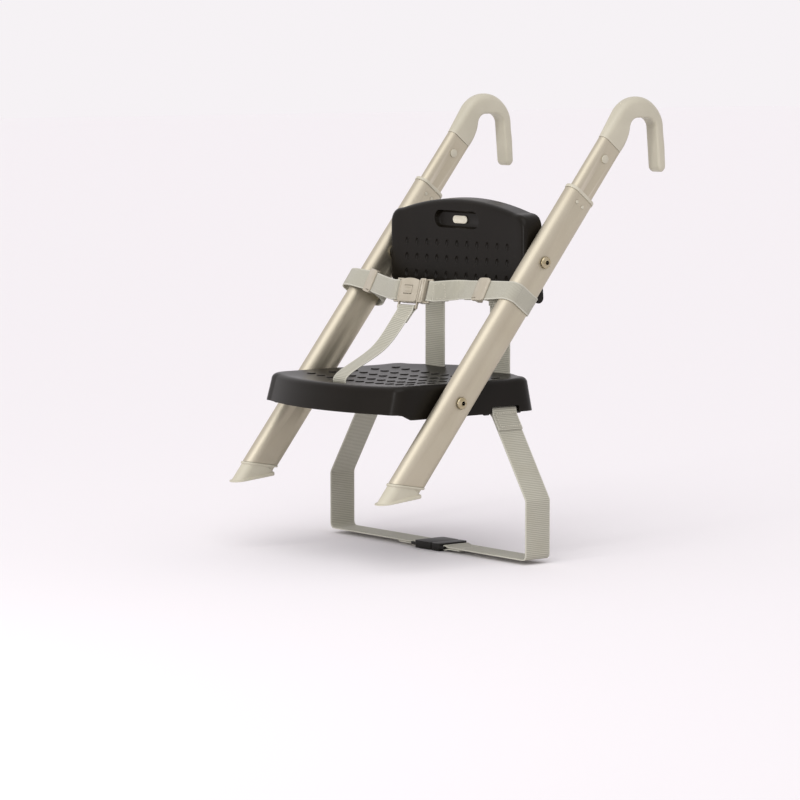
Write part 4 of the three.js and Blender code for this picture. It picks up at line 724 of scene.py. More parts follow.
# Seat pan: a dished top with rounded shoulders, a skirt, ribs underneath and rows of raised bumps
seat = {
    "frontReach": 0.104, "rearReach": 0.163, "topRise": 0.0218, "skirtDrop": 0.0187,
    "frontLift": 0.0065, "liftStart": 0.031, "liftRun": 0.017,
    "shoulder": 0.008, "sideDraft": 0.0015, "endDraft": 0.008, "dish": 0.006, "rearRise": 0.006,
    "frontCorner": 0.046, "frontCornerWidth": 0.02, "frontBow": 0.021,
    "rearCorner": 0.046, "rearCornerWidth": 0.018, "rearBow": 0.0245,
    "wall": 0.003, "rib": 0.003, "ribHeight": 0.014, "ribX": 0.023, "ribSpacing": 0.062,
    "bossRadius": 0.012, "bossHeight": 0.0038, "bossSunk": 0.0008,
    "slotWidth": 0.0046, "slotMargin": 0.001, "slotCorner": 0.001, "crotchSlot": 0.042,
    "outlinePoints": 168,
}
bumps = {"across": 0.0049, "along": 0.006, "height": 0.0012, "columns": 5, "pitch": 0.0194,
         "firstRow": 0.085, "rowPitch": 0.033, "rows": 5,
         "profile": ((1.0, -0.3), (0.98, 0.3), (0.94, 0.6), (0.88, 0.82), (0.78, 0.95), (0.62, 1.0),
                     (0.4, 1.0), (0.15, 1.0))}
strapBar = {"y": 0.2045, "radius": 0.0025, "rise": 0.0032, "inset": 0.007, "lugHeight": 0.011,
            "lugThickness": 0.007, "notchHeight": 0.008, "notchReach": 0.007, "notchCorner": 0.0015,
            "holeReach": 0.04}
suspension = {"x": 0.063, "behind": 0.0064, "rodDrop": 0.019, "rodRadius": 0.0022,
              "rodOverhang": 0.0025, "ply": 0.036, "seatPly": 0.003,
              "cutAfter": 0.06, "followAbove": 0.02, "followBelow": 0.01}
seatFront, seatRear = seatPivot.y - seat["frontReach"], seatPivot.y + seat["rearReach"]
seatMiddle, seatHalf = (seatFront + seatRear) / 2, (seatRear - seatFront) / 2
seatBorder = seatPivot.z + seat["topRise"]
skirtEdge = seatPivot.z - seat["skirtDrop"]
strapY = backPivot.y + suspension["behind"]
crotchY = seatFront + seat["crotchSlot"]
wallInside = panelHalf - seat["wall"] - seat["bossHeight"]


def eased(value, start, run):
    share = max(0, min(1, (value - start) / run))
    return share * share * (3 - 2 * share)


def seatTopAt(x, y):
    u = x / panelHalf
    v = (y - seatMiddle) / seatHalf
    dish = seat["dish"] * max(0, 1 - u * u) * max(0, 1 - v ** 4)
    return seatBorder - dish + seat["rearRise"] * eased(v, 0.5, 0.5) * (1 - u * u / 2)


def seatHem(y):
    return skirtEdge + seat["frontLift"] * (1 - eased(y, seatFront + seat["liftStart"], seat["liftRun"]))


# A closed outline from straight runs and curves. Each run is its end, and for a curve the place
# that it bends towards and its steps.
def outlined(count, start, *runs):
    line = [start]
    for end, *bend in runs:
        line += curveThrough(line[-1], bend[0], end, *bend[1:]) if bend else [end]
    return evenRound(line[:-1], count)


def seatOutline():
    w = panelHalf
    frontSide, rearSide = seatFront + seat["frontCorner"], seatRear - seat["rearCorner"]
    front, rear = seatFront + seat["frontBow"], seatRear - seat["rearBow"]
    frontX, rearX = w - seat["frontCornerWidth"], w - seat["rearCornerWidth"]
    return outlined(
        seat["outlinePoints"], (w, frontSide), ((w, rearSide),), ((rearX, rear), (w, rear)),
        ((-rearX, rear), (0, seatRear + seat["rearBow"]), 40), ((-w, rearSide), (-w, rear)),
        ((-w, frontSide),), ((-frontX, front), (-w, front)),
        ((frontX, front), (0, seatFront - seat["frontBow"]), 40), ((w, frontSide), (w, front)))


# A panel's skin, from the middle of its open side over its hem, walls and rounded shoulder to the
# middle of its dished face. Inside says how thick its wall is there, and past how far its hem goes on.
def panelForm(name, panel, inside=0, past=0):
    middle, half, way, place = (panel[key] for key in ("middle", "half", "openWay", "place"))
    outline = panel["outline"]()

    def ring(insetX, insetV, heightAt, share=1):
        shareX, shareV = (1 - insetX / panelHalf) * share, (1 - insetV / half) * share
        points = [(p.x * shareX, middle + (p.y - middle) * shareV) for p in outline]
        return [place(x, v, heightAt(x, v)) for x, v in points]

    def shouldered(inset, sink, share=1):
        return ring(inset + panel["sideDraft"], inset + panel["endDraft"],
                    lambda x, v: panel["faceAt"](x, v) + way * sink, share)

    round = panel["shoulder"] - inside
    hem = ring(inside, inside, lambda x, v: panel["hemAt"](v) + way * past)
    shoulders = []
    for i in range(9):
        angle = radians(90 * i / 8)
        shoulders.append(shouldered(inside + round * (1 - cos(angle)), inside + round * (1 - sin(angle))))
    rings = [[place(0, middle, panel["hemAt"](middle) + way * past)] * len(outline), hem]
    rings += [[a.lerp(b, share) for a, b in zip(hem, shoulders[0])] for share in panel["wallShares"]]
    rings += shoulders
    rings += [shouldered(panel["shoulder"], inside, 1 - i / panel["faceSteps"])
              for i in range(1, panel["faceSteps"])]
    rings.append([place(0, middle, panel["faceAt"](0, middle) + way * inside)] * len(outline))
    return skin(name, rings, closed=False)


seatPanel = {
    "middle": seatMiddle, "half": seatHalf, "openWay": -1,
    "place": lambda x, v, height: Vector((x, v, height)),
    "outline": seatOutline, "faceAt": seatTopAt, "hemAt": seatHem, "shoulder": seat["shoulder"],
    "sideDraft": seat["sideDraft"], "endDraft": seat["endDraft"],
    "wallShares": (0.25, 0.5, 0.75), "faceSteps": 14,
}


# A boss and a hole for a pivot bolt, in a panel's side wall
def addBoss(shell, side, pivot):
    return crossed(shell, "UNION", barX("boss", seat["bossRadius"], side * wallInside,
                                        side * (panelHalf - seat["wall"] + seat["bossSunk"]), pivot.y, pivot.z))


def pivotHole(side, pivot):
    return barX("pivotHole", bolt["radius"] + leg["clearance"], side * (wallInside - overrun),
                side * (panelHalf + overrun), pivot.y, pivot.z)


def barLug(side, middle, barZ):
    reach = strapBar["inset"] - seat["wall"] + seat["bossSunk"]
    half = strapBar["radius"] + seat["wall"]
    profile = [(reach, strapBar["lugHeight"]), (-half, strapBar["lugHeight"]),
               *arc(0, 0, half, 180, 270, 10), (reach, -strapBar["rise"] / 2)]
    barPlace = panelHalf - strapBar["inset"]
    half = strapBar["lugThickness"] / 2
    return skin("barLug", [[Vector((side * (barPlace + x), middle + end * half, barZ + z)) for x, z in profile]
                           for end in (-1, 1)])


def makeSeat():
    shell = cutAway(panelForm("seatPan", seatPanel), panelForm("inside", seatPanel, seat["wall"], overrun))
    low, high = seatBorder - seat["wall"] - seat["ribHeight"], seatBorder + overrun
    half = seat["rib"] / 2
    ribs = [box("rib", (x - half, seatFront, low), (x + half, seatRear, high))
            for x in (-seat["ribX"], seat["ribX"])]
    for row in (-1, 0, 1):
        y = seatMiddle + row * seat["ribSpacing"]
        ribs.append(box("rib", (-panelHalf, y - half, low), (panelHalf, y + half, high)))
    grid = crossed(ribs[0], "UNION", *ribs[1:])
    crossed(grid, "INTERSECT", panelForm("limit", seatPanel, seat["wall"] / 2, overrun))
    crossed(shell, "UNION", grid)
    notchHalf = webbing["wide"] / 2 + 2 * seat["slotMargin"]
    reach, rise = strapBar["notchReach"], strapBar["notchHeight"]
    barZ = skirtEdge + strapBar["rise"]
    for side in (-1, 1):
        cutAway(shell, box("notch", (side * panelHalf - reach, strapBar["y"] - notchHalf, skirtEdge - rise),
                           (side * panelHalf + reach, strapBar["y"] + notchHalf, skirtEdge + rise),
                           strapBar["notchCorner"]))
        addBoss(shell, side, seatPivot)
        for end in (-1, 1):
            middle = strapBar["y"] + end * (notchHalf + strapBar["lugThickness"] / 2)
            crossed(shell, "UNION", barLug(side, middle, barZ))

    def strapSlot(x, y, width):
        reach = width / 2 + seat["slotMargin"]
        return box("strapSlot", (x - reach, y - seat["slotWidth"] / 2, low),
                   (x + reach, y + seat["slotWidth"] / 2, high), seat["slotCorner"])

    tools = [strapSlot(0, crotchY, webbing["narrow"])]
    for side in (-1, 1):
        hole = barX("barHole", strapBar["radius"] + leg["clearance"], -strapBar["holeReach"],
                    strapBar["holeReach"], 0, 0)
        moved(hole, Matrix.Translation((side * (panelHalf - strapBar["inset"]), strapBar["y"], barZ))
              @ Matrix.Rotation(pi / 2, 4, "Z"))
        tools += [strapSlot(side * suspension["x"], strapY, webbing["wide"]), pivotHole(side, seatPivot), hole]
    return cutAway(shell, *tools)


# One bump with a soft foot, and its copies moved up onto the dished top
def addBumps(pan):
    bump = skin("bump", [[Vector((bumps["across"] * share * cos(tau * i / 24),
                                  bumps["along"] * share * sin(tau * i / 24), bumps["height"] * height))
                          for i in range(24)] for share, height in bumps["profile"]])
    copies = []
    for row in range(bumps["rows"]):
        for column in range(-bumps["columns"], bumps["columns"] + 1):
            x, y = column * bumps["pitch"], bumps["firstRow"] + row * bumps["rowPitch"]
            twin = copied(bump, "bump")
            for vert in twin.data.vertices:
                vert.co += Vector((x, y, seatTopAt(x + vert.co.x, y + vert.co.y)))
            copies.append(twin)
    bpy.data.objects.remove(bump)
    return joined(pan, *copies)


dressed(addBumps(smoothed(makeSeat(), 38)), polypropylene, "seat", "seat_pan")
print("seat made")


# Backrest: an arched shell with a rounded front edge, a recess, three rows of dimples and side lugs
back = {
    "frontReach": 0.0122, "depth": 0.027, "topRise": 0.0722, "bottomDrop": 0.0373, "arch": 0.015,
    "cornerWidth": 0.02, "cornerHeight": 0.02, "bottomCorner": 0.008,
    "shoulder": 0.007, "draft": 0.001, "dish": 0.003, "wall": 0.003, "ribTop": 0.046, "ribDepth": 0.025,
    "lugDrop": 0.051, "lugReach": 0.0185, "lugRadius": 0.007, "lugEdge": 0.0005,
    "recessHalf": 0.041, "recessHeight": 0.018, "recessDrop": 0.0265, "recessDepth": 0.0065,
    "recessFloor": ((0.0016, 0), (0.0006, 0.0004), (0, 0.0014)),  # its rounded edge: in and up
    "recessFlare": 0.004, "notchHeight": 0.006, "outlinePoints": 160,
}
dimples = {"across": 0.0035, "up": 0.0051, "deep": 0.0016, "proud": 0.0006, "columns": 5,
           "pitch": 0.0194, "rows": (0.290, 0.271, 0.2515)}
plate = {"width": 0.027, "height": 0.0095, "thickness": 0.0012, "border": 0.0011, "sunk": 0.0003,
         "edge": 0.0003}
backFront = backPivot.y - back["frontReach"]
backTop, backBottom = backPivot.z + back["topRise"], backPivot.z - back["bottomDrop"]
backMiddle, backHalf = (backTop + backBottom) / 2, (backTop - backBottom) / 2
recessZ = backTop - back["recessDrop"]
backRodZ = backPivot.z - suspension["rodDrop"]


def backFaceAt(x, z):
    u, v = x / panelHalf, (z - backMiddle) / backHalf
    return backFront + back["dish"] * max(0, 1 - u ** 4) * max(0, 1 - v * v)


def backOutline():
    w, cornerZ = panelHalf, backTop - back["arch"]
    low, bottomX = backBottom + back["bottomCorner"], w - back["bottomCorner"]
    cornerX, cornerLow = w - back["cornerWidth"], cornerZ - back["cornerHeight"]
    return outlined(
        back["outlinePoints"], (w, low), ((w, cornerLow),), ((cornerX, cornerZ), (w, cornerZ)),
        ((-cornerX, cornerZ), (0, backTop + back["arch"]), 40), ((-w, cornerLow), (-w, cornerZ)),
        ((-w, low),), ((-bottomX, backBottom), (-w, backBottom), 8), ((bottomX, backBottom),),
        ((w, low), (w, backBottom), 8))


backPanel = {
    "middle": backMiddle, "half": backHalf, "openWay": 1,
    "place": lambda x, v, height: Vector((x, height, v)),
    "outline": backOutline, "faceAt": backFaceAt, "hemAt": lambda v: backFront + back["depth"],
    "shoulder": back["shoulder"], "sideDraft": back["draft"], "endDraft": back["draft"],
    "wallShares": (0.33, 0.67), "faceSteps": 12,
}


def pillOutline(width, height):
    radius, straight = height / 2, (width - height) / 2
    return evenRound(arc(straight, 0, radius, -90, 90, 24) + arc(-straight, 0, radius, 90, 270, 24), 64)


# A block with an upright pill's outline in x and z. Each step says how much it grows there, and its y.
def pillBlock(name, width, height, steps):
    return skin(name, [[Vector((p.x, y, recessZ + p.y))
                        for p in pillOutline(width + 2 * grow, height + 2 * grow)] for grow, y in steps])


def backLug(side):
    middleY = backPivot.y + back["lugReach"] - back["lugRadius"]
    middleZ = backPivot.z - back["lugDrop"] + back["lugRadius"]
    profile = [(backPivot.y, backPivot.z),
               (backPivot.y - back["frontReach"] + back["shoulder"], backBottom + back["bottomCorner"]),
               *arc(middleY, middleZ, back["lugRadius"], 225, 360, 14),
               (backFront + back["depth"], backPivot.z)]
    ends = (panelHalf - back["wall"], panelHalf - back["draft"] / 2)
    lug = skin("lug", [[Vector((side * x, y, z)) for y, z in profile] for x in ends])
    return softened(lug, back["lugEdge"], 50)


# Oval dimples: one egg-shaped tool, copied across and down
def dimpleTools():
    tool = moved(added(bpy.ops.mesh.primitive_uv_sphere_add, "egg", segments=20, ring_count=12, radius=1),
                 Matrix.Diagonal((dimples["across"], dimples["deep"] + dimples["proud"], dimples["up"], 1)))
    copies = []
    for z in dimples["rows"]:
        for column in range(-dimples["columns"], dimples["columns"] + 1):
            x = column * dimples["pitch"]
            place = Matrix.Translation((x, backFaceAt(x, z) - dimples["proud"], z))
            copies.append(moved(copied(tool, "dimple"), place))
    bpy.data.objects.remove(tool)
    return joined(*copies)


def makeBackrest():
    shell = cutAway(panelForm("backrestShell", backPanel),
                    panelForm("inside", backPanel, back["wall"], overrun))
    face, rib = backFaceAt(0, recessZ), seat["rib"] / 2
    half, tall = back["recessHalf"] + back["wall"], back["recessHeight"] / 2
    inner = box("pocket", (-half, face - overrun / 2, recessZ - tall - back["wall"]),
                (half, face + (back["recessDepth"] + back["wall"]), recessZ + tall + back["wall"]))
    rodHalf = webbing["wide"] / 2 + seat["slotMargin"]
    for side in (-1, 1):
        for end in (-1, 1):
            x = side * suspension["x"] + end * (rodHalf + rib)
            crossed(inner, "UNION", box("rib", (x - rib, backFront - overrun, backBottom),
                                        (x + rib, backFront + back["ribDepth"], backBottom + back["ribTop"])))
    crossed(inner, "INTERSECT", panelForm("limit", backPanel, back["wall"] / 2, overrun))
    crossed(shell, "UNION", inner)
    for side in (-1, 1):
        addBoss(crossed(shell, "UNION", backLug(side)), side, backPivot)
    deep = face + back["recessDepth"]
    steps = [(-inward, deep - up) for inward, up in back["recessFloor"]]
    tools = [pillBlock("recess", 2 * back["recessHalf"], back["recessHeight"],
                       [*steps, (back["recessFlare"], face - overrun)])]
    rear = backFront + back["depth"] + overrun
    for side in (-1, 1):
        x, reach = side * suspension["x"], rodHalf + suspension["rodOverhang"]
        tools += [box("notch", (x - rodHalf, strapY - seat["slotWidth"] / 2, backBottom - back["notchHeight"]),
                      (x + rodHalf, rear, backBottom + back["notchHeight"])),
                  barX("rodHole", suspension["rodRadius"] + leg["clearance"], x - reach, x + reach,
                       strapY, backRodZ),
                  pivotHole(side, backPivot)]
    return cutAway(shell, *tools, dimpleTools())


dressed(smoothed(makeBackrest(), 38), polypropylene, "backrest", "backrest_shell")


# Label plate: bare, with a raised border round a sunk middle
def makePlate():
    rear = backFaceAt(0, recessZ) + back["recessDepth"] - leg["clearance"]
    front, edge, border = rear - plate["thickness"], plate["edge"], plate["border"]
    return smoothed(pillBlock("labelPlate", plate["width"], plate["height"], (
        (0, rear), (0, front + edge), (-edge, front), (-border, front),
        (-border - edge, front + plate["sunk"]))), 30)


dressed(makePlate(), creamPlastic, "backrest", "label_plate")
print("backrest and plate made")


# Straps. Each is drawn along its route: where it is sewn, its end is folded back over itself.
buckle = {
    "x": 0.005, "offset": -0.043, "station": 0.2685, "lean": 19, "yaw": 12,
    "length": 0.030, "height": 0.030, "thickness": 0.011, "wall": 0.0018,
    "corner": 0.004, "bow": 0.0015, "edge": 0.0009,
    "bead": 0.0006, "beadWidth": (0.0004, 0.0022), "beadEnds": (0.003, 0.0045), "beadSunk": 0.001,
    "beadEdge": 0.0005,
    "plugBody": 0.009, "tongueLength": 0.020, "tongueHeight": 0.020, "tongueThickness": 0.0034,
    "tongueRoot": 0.002, "tongueEdge": 0.001,
    "ridgeDepth": 0.0008, "ridgeGaps": ((0.0026, 0.0034), (0.0062, 0.0072)), "ridgeInset": 0.002,
    "notchHalf": 0.0012, "barReach": 0.006, "barRadius": 0.0018, "arm": 0.002, "armEdge": 0.0006,
    "beside": 0.0005, "window": (0.0126, 0.0116), "button": (0.012, 0.0096), "buttonCorner": 0.001,
    "buttonEdge": 0.0005, "buttonProud": 0.0006, "groove": (0.0084, 0.0009, 0.0004),
    "grooveSpacing": 0.005, "flange": (0.0012, 0.0067),
}
# Places on the lap belt: shares of the half track, and of half a tube's depth in front of the
# leg's line and along it, and the degrees that the belt leans there
lap = {
    "station": 0.296,
    "ply": 0.018,
    "left": {
        "start": (0.379, -1.82, -1.04, 21),
        "straight": ((0.524, -1.56, -0.76, 24), (0.803, -1.065, -0.21, 24)),
        "loop": ((0.9, -1.1, -0.18, 31), (1, -1.18, -0.15, 36), (1.12, -1.02, -0.06, 37),
                 (1.205, -0.6, 0.05, 36), (1.23, -0.1, 0.12, 35), (1.2, 0.5, 0.16, 36),
                 (1.12, 0.98, 0.1, 37), (1.03, 1.14, 0.06, 38), (0.93, 1.08, 0.05, 38),
                 (0.85, 0.78, 0.07, 36), (0.828, 0.2, 0.06, 31), (0.822, -0.4, -0.02, 27)),
    },
    "right": {
        "start": (0.414, -0.94, -0.28, 22),
        "straight": ((0.524, -1, -0.28, 28), (0.807, -1.14, -0.28, 28)),
        "return": ((0.868, -0.1, 0.2, 33), (0.824, -0.72, -0.1, 30)),
        "turn": (-85, 156), "rise": (-0.1, 0.33), "lean": 38.7,
    },
}
crotch = {"ply": 0.018, "rodPly": 0.003, "rise": 0.009, "middle": (0.5, 0.6, 0.49)}
under = {"x": 0.191, "y": 0.2045, "turn": 0.006, "depth": 0.0765, "shoulder": 0.005, "ply": 0.024,
         "left": 0.016, "right": 0.0323}
routing = {"thinAngle": 5, "longest": 0.004}
plyStep = webbing["thickness"] + webbing["plyGap"]
buckleFrame = (Matrix.Translation(legPoint(buckle["x"], buckle["offset"], buckle["station"]))
               @ Matrix.Rotation(radians(buckle["yaw"]), 4, "Z")
               @ Matrix.Rotation(-radians(buckle["lean"]), 4, "X"))


def inBuckle(direction):
    return (buckleFrame.to_3x3() @ direction).normalized()


# The fold round a bar, from the sewn end's side to the side where the strap runs on
def fold(bar, radius, along, side, width):
    turn = radius + leg["clearance"] + webbing["thickness"] / 2
    half, neck = plyStep / 2, webbing["eyeNeck"] * turn
    opening = degrees(acos(min(1, turn / hypot(neck, half))) + atan2(half, neck))
    line = [(neck, -half)] + arc(0, 0, turn, 360 - opening, opening, 24) + [(neck, half)]
    return [(bar + along * u + side * v, width) for u, v in line]


def throughPlaces(places, steps):
    points = [p for p, _ in places]
    padded = [2 * points[0] - points[1], *points, 2 * points[-1] - points[-2]]
    line = []
    for i in range(len(points) - 1):
        a, b, c, d = padded[i:i + 4]
        before, here, after = ((q - p).length ** 0.5 for p, q in ((a, b), (b, c), (c, d)))
        leave = ((b - a) / before - (c - a) / (before + here) + (c - b) / here) * here
        arrive = ((c - b) / here - (d - b) / (here + after) + (d - c) / after) * here
        for k in range(steps):
            t = k / steps
            point = (b * (2 * t ** 3 - 3 * t * t + 1) + leave * (t ** 3 - 2 * t * t + t)
                     + c * (3 * t * t - 2 * t ** 3) + arrive * (t ** 3 - t * t))
            line.append((point, places[i][1].lerp(places[i + 1][1], t)))
    return line + [places[-1]]


# A route in short steps with its sharp turns eased, then thinned to what its bends need
def easedRoute(places, passes=5):
    fine = []
    for (a, acrossA), (b, acrossB) in zip(places, places[1:]):
        steps = max(1, round((b - a).length / webbing["step"]))
        fine += [(a.lerp(b, i / steps), acrossA.lerp(acrossB, i / steps)) for i in range(steps)]
    fine.append(places[-1])
    points = [p for p, _ in fine]
    for _ in range(passes):
        inner = [(a + 2 * b + c) / 4 for a, b, c in zip(points, points[1:], points[2:])]
        points = [points[0], *inner, points[-1]]
    kept = [0]
    for i in range(1, len(points) - 1):
        last, here = points[kept[-1] + 1] - points[kept[-1]], points[i + 1] - points[i]
        far = (points[i] - points[kept[-1]]).length > routing["longest"]
        if far or last.angle(here) > radians(routing["thinAngle"]):
            kept.append(i)
    kept.append(len(points) - 1)
    return [(points[i], fine[i][1]) for i in kept]


def framesOf(places):
    frames, length = [], 0
    for i, (point, width) in enumerate(places):
        before, after = places[max(i - 1, 0)][0], places[min(i + 1, len(places) - 1)][0]
        along = (after - before).normalized()
        side = (width - along * width.dot(along)).normalized()
        if i:
            length += (point - places[i - 1][0]).length
        frames.append({"point": point, "along": along, "side": side, "out": along.cross(side), "at": length})
    return frames


def ribbon(name, frames, width, material):
    edge, half = webbing["edgeRound"], webbing["thickness"] / 2
    middle = width / 2 - edge
    section = []
    for turn, (sideX, sideY) in enumerate(((1, 1), (-1, 1), (-1, -1), (1, -1))):
        section += [(sideX * middle + x, sideY * (half - edge) + y)
                    for x, y in arc(0, 0, edge, 90 * turn, 90 * turn + 90, 3)]
        if turn in (0, 2):
            section += [(sideX * width / 6, sideY * half), (-sideX * width / 6, sideY * half)]
    piece = skin(name, [[f["point"] + f["side"] * x + f["out"] * y for x, y in section] for f in frames])
    unrolled = piece.data.uv_layers.new(name="unrolled")
    place, line = piece.data.attributes["place"].data, piece.data.attributes["line"].data
    for loop in piece.data.loops:
        vert = loop.vertex_index
        unrolled.data[loop.index].uv = (section[place[vert].value][0], frames[line[vert].value]["at"])
    piece.data.materials.append(material)
    return smoothed(piece, 50)


# The sewn end lies along the strap, one ply's step to the side of it
def sewnEnd(main, length, side):
    end, travelled = [], 0
    for (a, width), (b, _) in zip(main, main[1:]):
        along = (b - a).normalized()
        flatSide = (side - along * side.dot(along)).normalized()
        end.append((a - flatSide * plyStep, width))
        travelled += (b - a).length
        if travelled >= length:
            break
    return end[::-1]


# Stitches round a sewn end: short rounded thread runs, sunk a little into both outer faces
stitch = {"length": 0.0024, "radius": 0.00032, "pitch": 0.0034, "inset": 0.0035, "endGap": 0.001}


def makeStitch():
    half, round = stitch["length"] / 2, stitch["radius"]
    ends = [(half, 0.3), (half - round * 0.5, 0.85), (half - round * 1.4, 1)]
    profile = [(-x, share * round) for x, share in ends] + [(x, share * round) for x, share in ends[::-1]]
    piece = smoothed(spun("stitch", profile, count=8), 60)
    piece.data.materials.append(thread)
    return piece


masterStitch = makeStitch()


def placeAt(frames, at):
    for a, b in zip(frames, frames[1:]):
        if b["at"] >= at:
            share = (at - a["at"]) / max(b["at"] - a["at"], 0.000001)
            return {key: a[key].lerp(b[key], share) for key in ("point", "along", "side", "out")}
    return frames[-1]


# Outer is the face that the sewn end doesn't lie on: 1 or -1
def stitched(frames, width, start, end, outer):
    low, high, edge = start + stitch["inset"], end - stitch["inset"] / 2, width / 2 - stitch["inset"]
    crosswise = int(2 * edge / stitch["pitch"])
    lengthwise = max(1, int((high - low) / stitch["pitch"]))
    runs = [(at, -edge + 2 * edge * (i + 0.5) / crosswise, "side")
            for at in (low, high) for i in range(crosswise)]
    runs += [(low + (high - low) * (i + 0.5) / lengthwise, x, "along")
             for x in (-edge, edge) for i in range(lengthwise)]
    half = webbing["thickness"] / 2
    stitches = []
    for at, x, way in runs:
        here = placeAt(frames, at)
        lengthways, out = here[way].normalized(), here["out"].normalized()
        turn = turnedTo(lengthways, out.cross(lengthways), out)
        for height in (outer * half, -outer * (half + plyStep)):
            point = here["point"] + here["side"] * x + out * height
            stitches.append(moved(copied(masterStitch, "stitch"), Matrix.Translation(point) @ turn))
    return stitches


# A strap or a part of one: its rows are the frames that it has, its seams where it is sewn
def makeStrap(name, rows, width, material, held, node, *seams, frames=None):
    piece = ribbon(name, rows, width, material)
    joined(piece, *[run for seam in seams for run in stitched(frames or rows, width, *seam)])
    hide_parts(node)
    return piece


# The rows of a strap between two bars. Each of its folds is sewn to the run between them, and
# each seam says how long that ply is and on which side of the run it lies.
def betweenBars(first, run, last, *seams):
    (firstPly, firstSide), (lastPly, lastSide) = seams
    route = (sewnEnd(run, firstPly, firstSide) + first[:-1] + run + last[1:]
             + sewnEnd(run[::-1], lastPly, lastSide)[::-1])
    return framesOf(easedRoute(route))


# Suspension straps, from a rod in the backrest down to a rod under the seat. Each is in two
# halves that meet in one place.
def rodBelow(x, y):
    turn = suspension["rodRadius"] + leg["clearance"] + webbing["thickness"] / 2
    return seatTopAt(x, y) - seat["wall"] - 3 * leg["clearance"] - webbing["eyeNeck"] * turn


seatRodZ = rodBelow(suspension["x"] - webbing["wide"] / 2, strapY - seat["slotWidth"] / 2)
crotchRodZ = rodBelow(0, crotchY)
for side, name in bothSides:
    x = side * suspension["x"]
    top = fold(Vector((x, strapY, backRodZ)), suspension["rodRadius"], -upwards, backwards, across)
    low = fold(Vector((x, strapY, seatRodZ)), suspension["rodRadius"], upwards, backwards, across)[::-1]
    frames = betweenBars(top, easedRoute([top[-1], low[0]], 0), low, (suspension["ply"], backwards),
                         (suspension["seatPly"], backwards))
    split = (backRodZ + seatRodZ) / 2
    cut = next(i for i, f in enumerate(frames) if f["point"].z < split and f["at"] > suspension["cutAfter"])
    above, below = split + suspension["followAbove"], suspension["followBelow"]
    seam = (0, suspension["ply"], 1)
    for part, rows, bodies, ends, seams in (
            ("Upper", frames[:cut + 1], ("backrest", "frame"), (backRodZ, above), [seam]),
            ("Lower", frames[cut:], ("frame", "seat"), (split - below, seatRodZ + below), [])):
        piece = makeStrap(name + "SuspensionStrap" + part, rows, webbing["wide"], wideRibbed, "stretched",
                          name + "_suspension_strap", *seams, frames=frames)
        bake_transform(piece)
print("suspension straps made")


# Lap belt: each half is sewn to the buckle, runs through its slider, round the leg and back
def lapPlace(side, share):
    x, offset, rise, lean = share
    half = leg["tubeDepth"] / 2
    return (legPoint(side * x * leg["halfTrack"], offset * half, lap["station"] + rise * half),
            Vector((0, sin(radians(lean)), cos(radians(lean)))))


def snugLoop():
    sizes = lap["right"]
    turn = leg["tubeWidth"] / 2 + webbing["thickness"] / 2 + leg["clearance"]
    flat = leg["tubeDepth"] / 2 - leg["tubeWidth"] / 2
    line = (arc(leg["halfTrack"], -flat, turn, sizes["turn"][0], 0, 10)
            + arc(leg["halfTrack"], flat, turn, 0, sizes["turn"][1], 18))
    low, high = sizes["rise"]
    return [lapPlace(1, (x / leg["halfTrack"], 2 * offset / leg["tubeDepth"],
                         low + (high - low) * i / (len(line) - 1), sizes["lean"]))
            for i, (x, offset) in enumerate(line)]


# The straight run that the slider holds: both its ends, its direction and its width's direction
def straightRun(side, sizes):
    (inner, width), (outer, _) = (lapPlace(side, share) for share in sizes["straight"])
    run = (outer - inner).normalized()
    return inner, outer, run, (width - run * width.dot(run)).normalized()


def lapRoute(side, sizes):
    reach = buckle["length"] / 2 + (leg["clearance"] + buckle["plugBody"] if side > 0 else 0)
    bar = buckleFrame @ Vector((side * (reach + buckle["barReach"]), 0, 0))
    along, behind = inBuckle(across) * side, -inBuckle(backwards)
    end = fold(bar, buckle["barRadius"], along, behind, inBuckle(upwards))
    inner, outer, run, width = straightRun(side, sizes)
    away = width.cross(run) * side * plyStep
    last, returned = (outer, width), (outer + away, width)
    lead = throughPlaces([end[-1], lapPlace(side, sizes["start"]), (inner, width)], 12)
    if side < 0:
        loop = throughPlaces([last, *[lapPlace(side, share) for share in sizes["loop"]], returned], 6)
    else:
        snug = snugLoop()
        loop = [last, *snug] + throughPlaces(
            [snug[-1], *[lapPlace(side, share) for share in sizes["return"]], returned], 8)[1:]
    main = lead + loop
    return sewnEnd(main, lap["ply"], behind) + end[:-1] + main + [(inner + away, width)]


# Lap buckle, drawn round its own middle with its thickness from front to back: a socket whose
# window holds the button, and a plug with ridges, a tongue and its arms
def roundedOutline(width, height, corner, bow=0):
    w, h = width / 2 - corner, height / 2 - corner
    crown = [(w * share, h + corner - bow * share * share) for share in (0.6, 0.2, -0.2, -0.6)]
    return (arc(w, h - bow, corner, 0, 90, 8) + crown + arc(-w, h - bow, corner, 90, 180, 8)
            + arc(-w, -h, corner, 180, 270, 8) + arc(w, -h, corner, 270, 360, 8))


# A slab with its outline in x and z and rounded front and rear edges
def slab(name, outline, front, rear, edge):
    middle = Vector([sum(values) / len(outline) for values in zip(*outline)])
    extent = max(abs(x - middle.x) for x, _ in outline)
    rows = []
    for y, inset in ((front, edge), (front + 0.3 * edge, 0.3 * edge), (front + edge, 0),
                     (rear - edge, 0), (rear - 0.3 * edge, 0.3 * edge), (rear, edge)):
        share = 1 - inset / extent
        rows.append([Vector((middle.x + (x - middle.x) * share, y, middle.y + (z - middle.y) * share))
                     for x, z in outline])
    return skin(name, rows)


